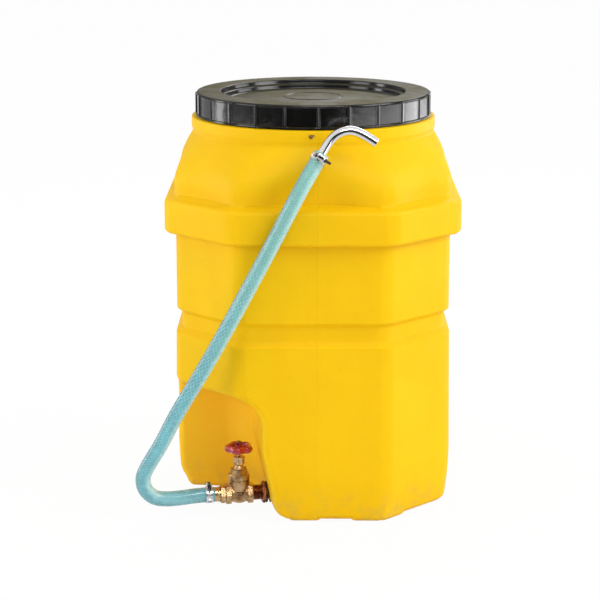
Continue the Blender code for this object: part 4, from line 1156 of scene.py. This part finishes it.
class WATERTANK_OT_handwheel(bpy.types.Operator):
    """Models the lobed handwheel"""

    bl_idname = "water_tank.handwheel"
    bl_label = "Handwheel"

    def execute(self, context):
        sizes = context.scene.valve_sizes
        level, thick, tall = 0.0822, 0.0043, 1.4
        put_down()
        bpy.ops.mesh.primitive_torus_add(
            major_radius=sizes.wheel, minor_radius=thick, major_segments=100, minor_segments=20
        )
        rim = context.object
        open_up(rim)
        bpy.ops.transform.resize(value=(1, 1, tall), center_override=(0, 0, 0))
        bpy.ops.transform.translate(value=(0, 0, level))
        for number in range(sizes.lobes):
            out = about("Z", FULL_TURN * (number + 0.5) / sizes.lobes) @ Vector((1, 0, 0))
            pick("VERT", lambda corner: corner.co.dot(out) > 0 and abs(corner.co.xy.cross(out.xy)) < 0.0016)
            press(-out, 0.0034, 0.009)
        put_down()
        hub = turned(mm((0, 76.2), (5.8, 76.2), (6.5, 76.9), (6.5, 87.2), (5.8, 88.2), (0, 88.2)), 40)
        arm = block((0.003, -0.0025, level - 0.0022), (sizes.wheel, 0.0025, level + 0.002), 0.001, 3)
        arms = copies(arm, [about("Z", FULL_TURN * number / sizes.lobes) for number in range(sizes.lobes)])
        fuse([rim, hub, *arms], rounds=3)
        drill(rim, 0.0033, 0.07, 0.1, sides=32)
        set_down_at(rim, VALVE_PLACE)
        finish_piece(rim, "wheel", "handwheel", "handwheel_red", wheel_paint(sizes), "handwheel")
        return {"FINISHED"}


class WATERTANK_OT_inside(bpy.types.Operator):
    """Gives the small inner pieces of the lid, outlet and valve their finishes"""

    bl_idname = "water_tank.inside"
    bl_label = "Inner pieces"

    def execute(self, context):
        rubber = moulded("seal rubber", (0.018, 0.018, 0.018), 0.75, size=260)
        brass = metal("turned brass", (0.58, 0.39, 0.19), 0.2, (0.4, 0.24, 0.1), spots=150, pits=1500, depth=0.0001)
        packing = moulded("packing cord", (0.42, 0.38, 0.3), 0.88, size=900)
        for material, names in (
            (rubber, ("lid_gasket", "outlet_inner_washer", "outlet_outer_washer")),
            (brass, ("outlet_inner_nut", "gate_wedge", "valve_stem", "packing_gland")),
            (packing, ("stem_packing",)),
        ):
            for name in names:
                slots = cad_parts[name].data.materials
                slots.clear()
                slots.append(material)
        return {"FINISHED"}


# Camera, light and floor


class WATERTANK_OT_camera(bpy.types.Operator):
    """Sets up the camera"""

    bl_idname = "water_tank.camera"
    bl_label = "Camera"

    def execute(self, context):
        stand, pan, tilt = (0, -3.29, 1.119), 0.007, math.radians(13.4)
        data = bpy.data.cameras.new("camera")
        data.sensor_width = 36
        data.lens = 113.58
        camera = new_object("camera", data)
        camera.matrix_world = Matrix.Translation(stand) @ about("Z", pan) @ about("X", math.pi / 2 - tilt)
        context.scene.camera = camera
        return {"FINISHED"}


def for_camera(owner, level):
    """Full strength for the camera's own rays, and this level in mirrors."""
    return between(owner, add(owner, "LightPath")["Is Camera Ray"], 0, 1, level, 1, "LINEAR")


def show(owner, output, share, first, second):
    """Mixes two shaders and links them to the output."""
    made = owner.node_tree.nodes.new("ShaderNodeMixShader")
    for socket, value in zip(made.inputs, (share, first, second)):
        feed(owner, socket, value)
    end = owner.node_tree.nodes.new("ShaderNode" + output)
    owner.node_tree.links.new(made.outputs[0], end.inputs["Surface"])


def seen_rays(owner):
    """One for the rays that show the background to the eye, in mirrors and through glass, none for the rest."""
    path = add(owner, "LightPath")
    return sums(owner, "MAXIMUM", path["Is Camera Ray"], path["Is Glossy Ray"], path["Is Transmission Ray"])


class WATERTANK_OT_stage(bpy.types.Operator):
    """Sets up the floor, the surroundings and the lamps"""

    bl_idname = "water_tank.stage"
    bl_label = "Stage"

    def execute(self, context):
        light = context.scene.studio_light
        # How bright the front is in mirrors, and how much more the floor glows than it takes light
        dim, glowing = 0.012, 0.955
        put_down()
        bpy.ops.mesh.primitive_circle_add(vertices=96, radius=18, fill_type="NGON", location=(0, 0, 0))
        floor = context.object
        floor.name = "floor"
        paper = bpy.data.materials.new("studio floor")
        paper.use_nodes = True
        paper.node_tree.nodes.clear()
        matt = add(paper, "BsdfDiffuse", Color=(0.78, 0.78, 0.78, 1))["BSDF"]
        away = add(paper, "SeparateXYZ", Vector=add(paper, "TexCoord")["Object"])
        right = between(paper, away["X"], 1.2, 5, 0, 4.5)
        left = between(paper, away["X"], -6.5, -3.4, 1.6, 0)
        near = between(paper, away["Y"], -2.7, -1.1, dim, 0.75)
        level = for_camera(paper, sums(paper, "MAXIMUM", right, left, near))
        glow = add(paper, "Emission", Color=(1, 1, 1, 1), Strength=level)["Emission"]
        show(paper, "OutputMaterial", times(paper, seen_rays(paper), glowing), matt, glow)
        floor.data.materials.append(paper)

        world = bpy.data.worlds.new("studio")
        context.scene.world = world
        world.use_nodes = True
        world.node_tree.nodes.clear()
        room = add(world, "Background", Color=(1, 1, 1, 1), Strength=light.room)["Background"]
        way = add(world, "SeparateXYZ", Vector=add(world, "TexCoord")["Generated"])
        behind = between(world, way["Y"], -0.3, 0.4, dim, light.backdrop)
        right = between(world, way["X"], 0.35, 0.95, 0, light.backdrop)
        above = between(world, way["Z"], 0.25, 0.55, 0, light.ceiling)
        level = for_camera(world, sums(world, "MAXIMUM", behind, right, above))
        white = add(world, "Background", Color=(1, 1, 1, 1), Strength=level)["Background"]
        show(world, "OutputWorld", seen_rays(world), room, white)

        # The place, width, height and power, and whether it lights matt surfaces or only shows in glossy ones
        lamps = (
            ("key lamp", (3.35, -1.35, 2.5), 2, 2, light.key, True),
            ("side lamp", (-3.2, -1.4, 1.3), 1.5, 1.5, light.side, True),
            ("back lamp", (0.6, 2.6, 2.4), 1.8, 1.2, light.back, True),
            ("right strip", (2.16, 0.74, 0.75), 0.95, 1.5, 16, False),
            ("left strip", (-2.25, 0.42, 0.75), 0.5, 1.5, 13, False),
            ("front strip", (0.5, -2.5, 3), 2.4, 0.22, 50, False),
        )
        mid_tank = Vector((0, 0, 0.45))
        for name, place, wide, tall, power, on_matt in lamps:
            data = bpy.data.lights.new(name, "AREA")
            data.shape = "RECTANGLE"
            data.size = wide
            data.size_y = tall
            data.energy = power
            lamp = new_object(name, data)
            lamp.visible_diffuse = on_matt
            aim = Vector(place) - mid_tank
            lamp.matrix_world = Matrix.Translation(place) @ aim.to_track_quat("Z", "Y").to_matrix().to_4x4()
        context.scene.view_settings.view_transform = "Standard"
        return {"FINISHED"}


# The operators in the order in which they run
PIECES = (
    "camera", "spout", "clamps", "hose", "tank", "lid", "outlet", "valve", "handwheel", "hook", "inside", "stage",
)
SETTINGS = (
    ("tank_sizes", TankSizes), ("lid_sizes", LidSizes), ("hose_sizes", HoseSizes), ("valve_sizes", ValveSizes),
    ("studio_light", StudioLight),
)


class WATERTANK_PT_pieces(bpy.types.Panel):
    """Lists the pieces and their sizes"""

    bl_idname = "WATERTANK_PT_pieces"
    bl_label = "Water tank"
    bl_space_type = "VIEW_3D"
    bl_region_type = "UI"
    bl_category = "Water tank"

    def draw(self, context):
        for piece in PIECES:
            self.layout.operator("water_tank." + piece)
        for name, group in SETTINGS:
            box = self.layout.box()
            box.label(text=group.__doc__)
            for size in group.__annotations__:
                box.prop(getattr(context.scene, name), size)


CLASSES = (
    TankSizes, LidSizes, HoseSizes, ValveSizes, StudioLight,
    WATERTANK_OT_camera, WATERTANK_OT_spout, WATERTANK_OT_clamps, WATERTANK_OT_hose, WATERTANK_OT_tank,
    WATERTANK_OT_lid, WATERTANK_OT_outlet, WATERTANK_OT_valve, WATERTANK_OT_handwheel, WATERTANK_OT_hook,
    WATERTANK_OT_inside, WATERTANK_OT_stage, WATERTANK_PT_pieces,
)


def register():
    for item in CLASSES:
        bpy.utils.register_class(item)
    for name, group in SETTINGS:
        setattr(bpy.types.Scene, name, PointerProperty(type=group))


def unregister():
    for name, group in SETTINGS:
        delattr(bpy.types.Scene, name)
    for item in reversed(CLASSES):
        bpy.utils.unregister_class(item)


def main():
    register()
    for piece in PIECES:
        getattr(bpy.ops.water_tank, piece)()


if __name__ == "__main__":
    main()
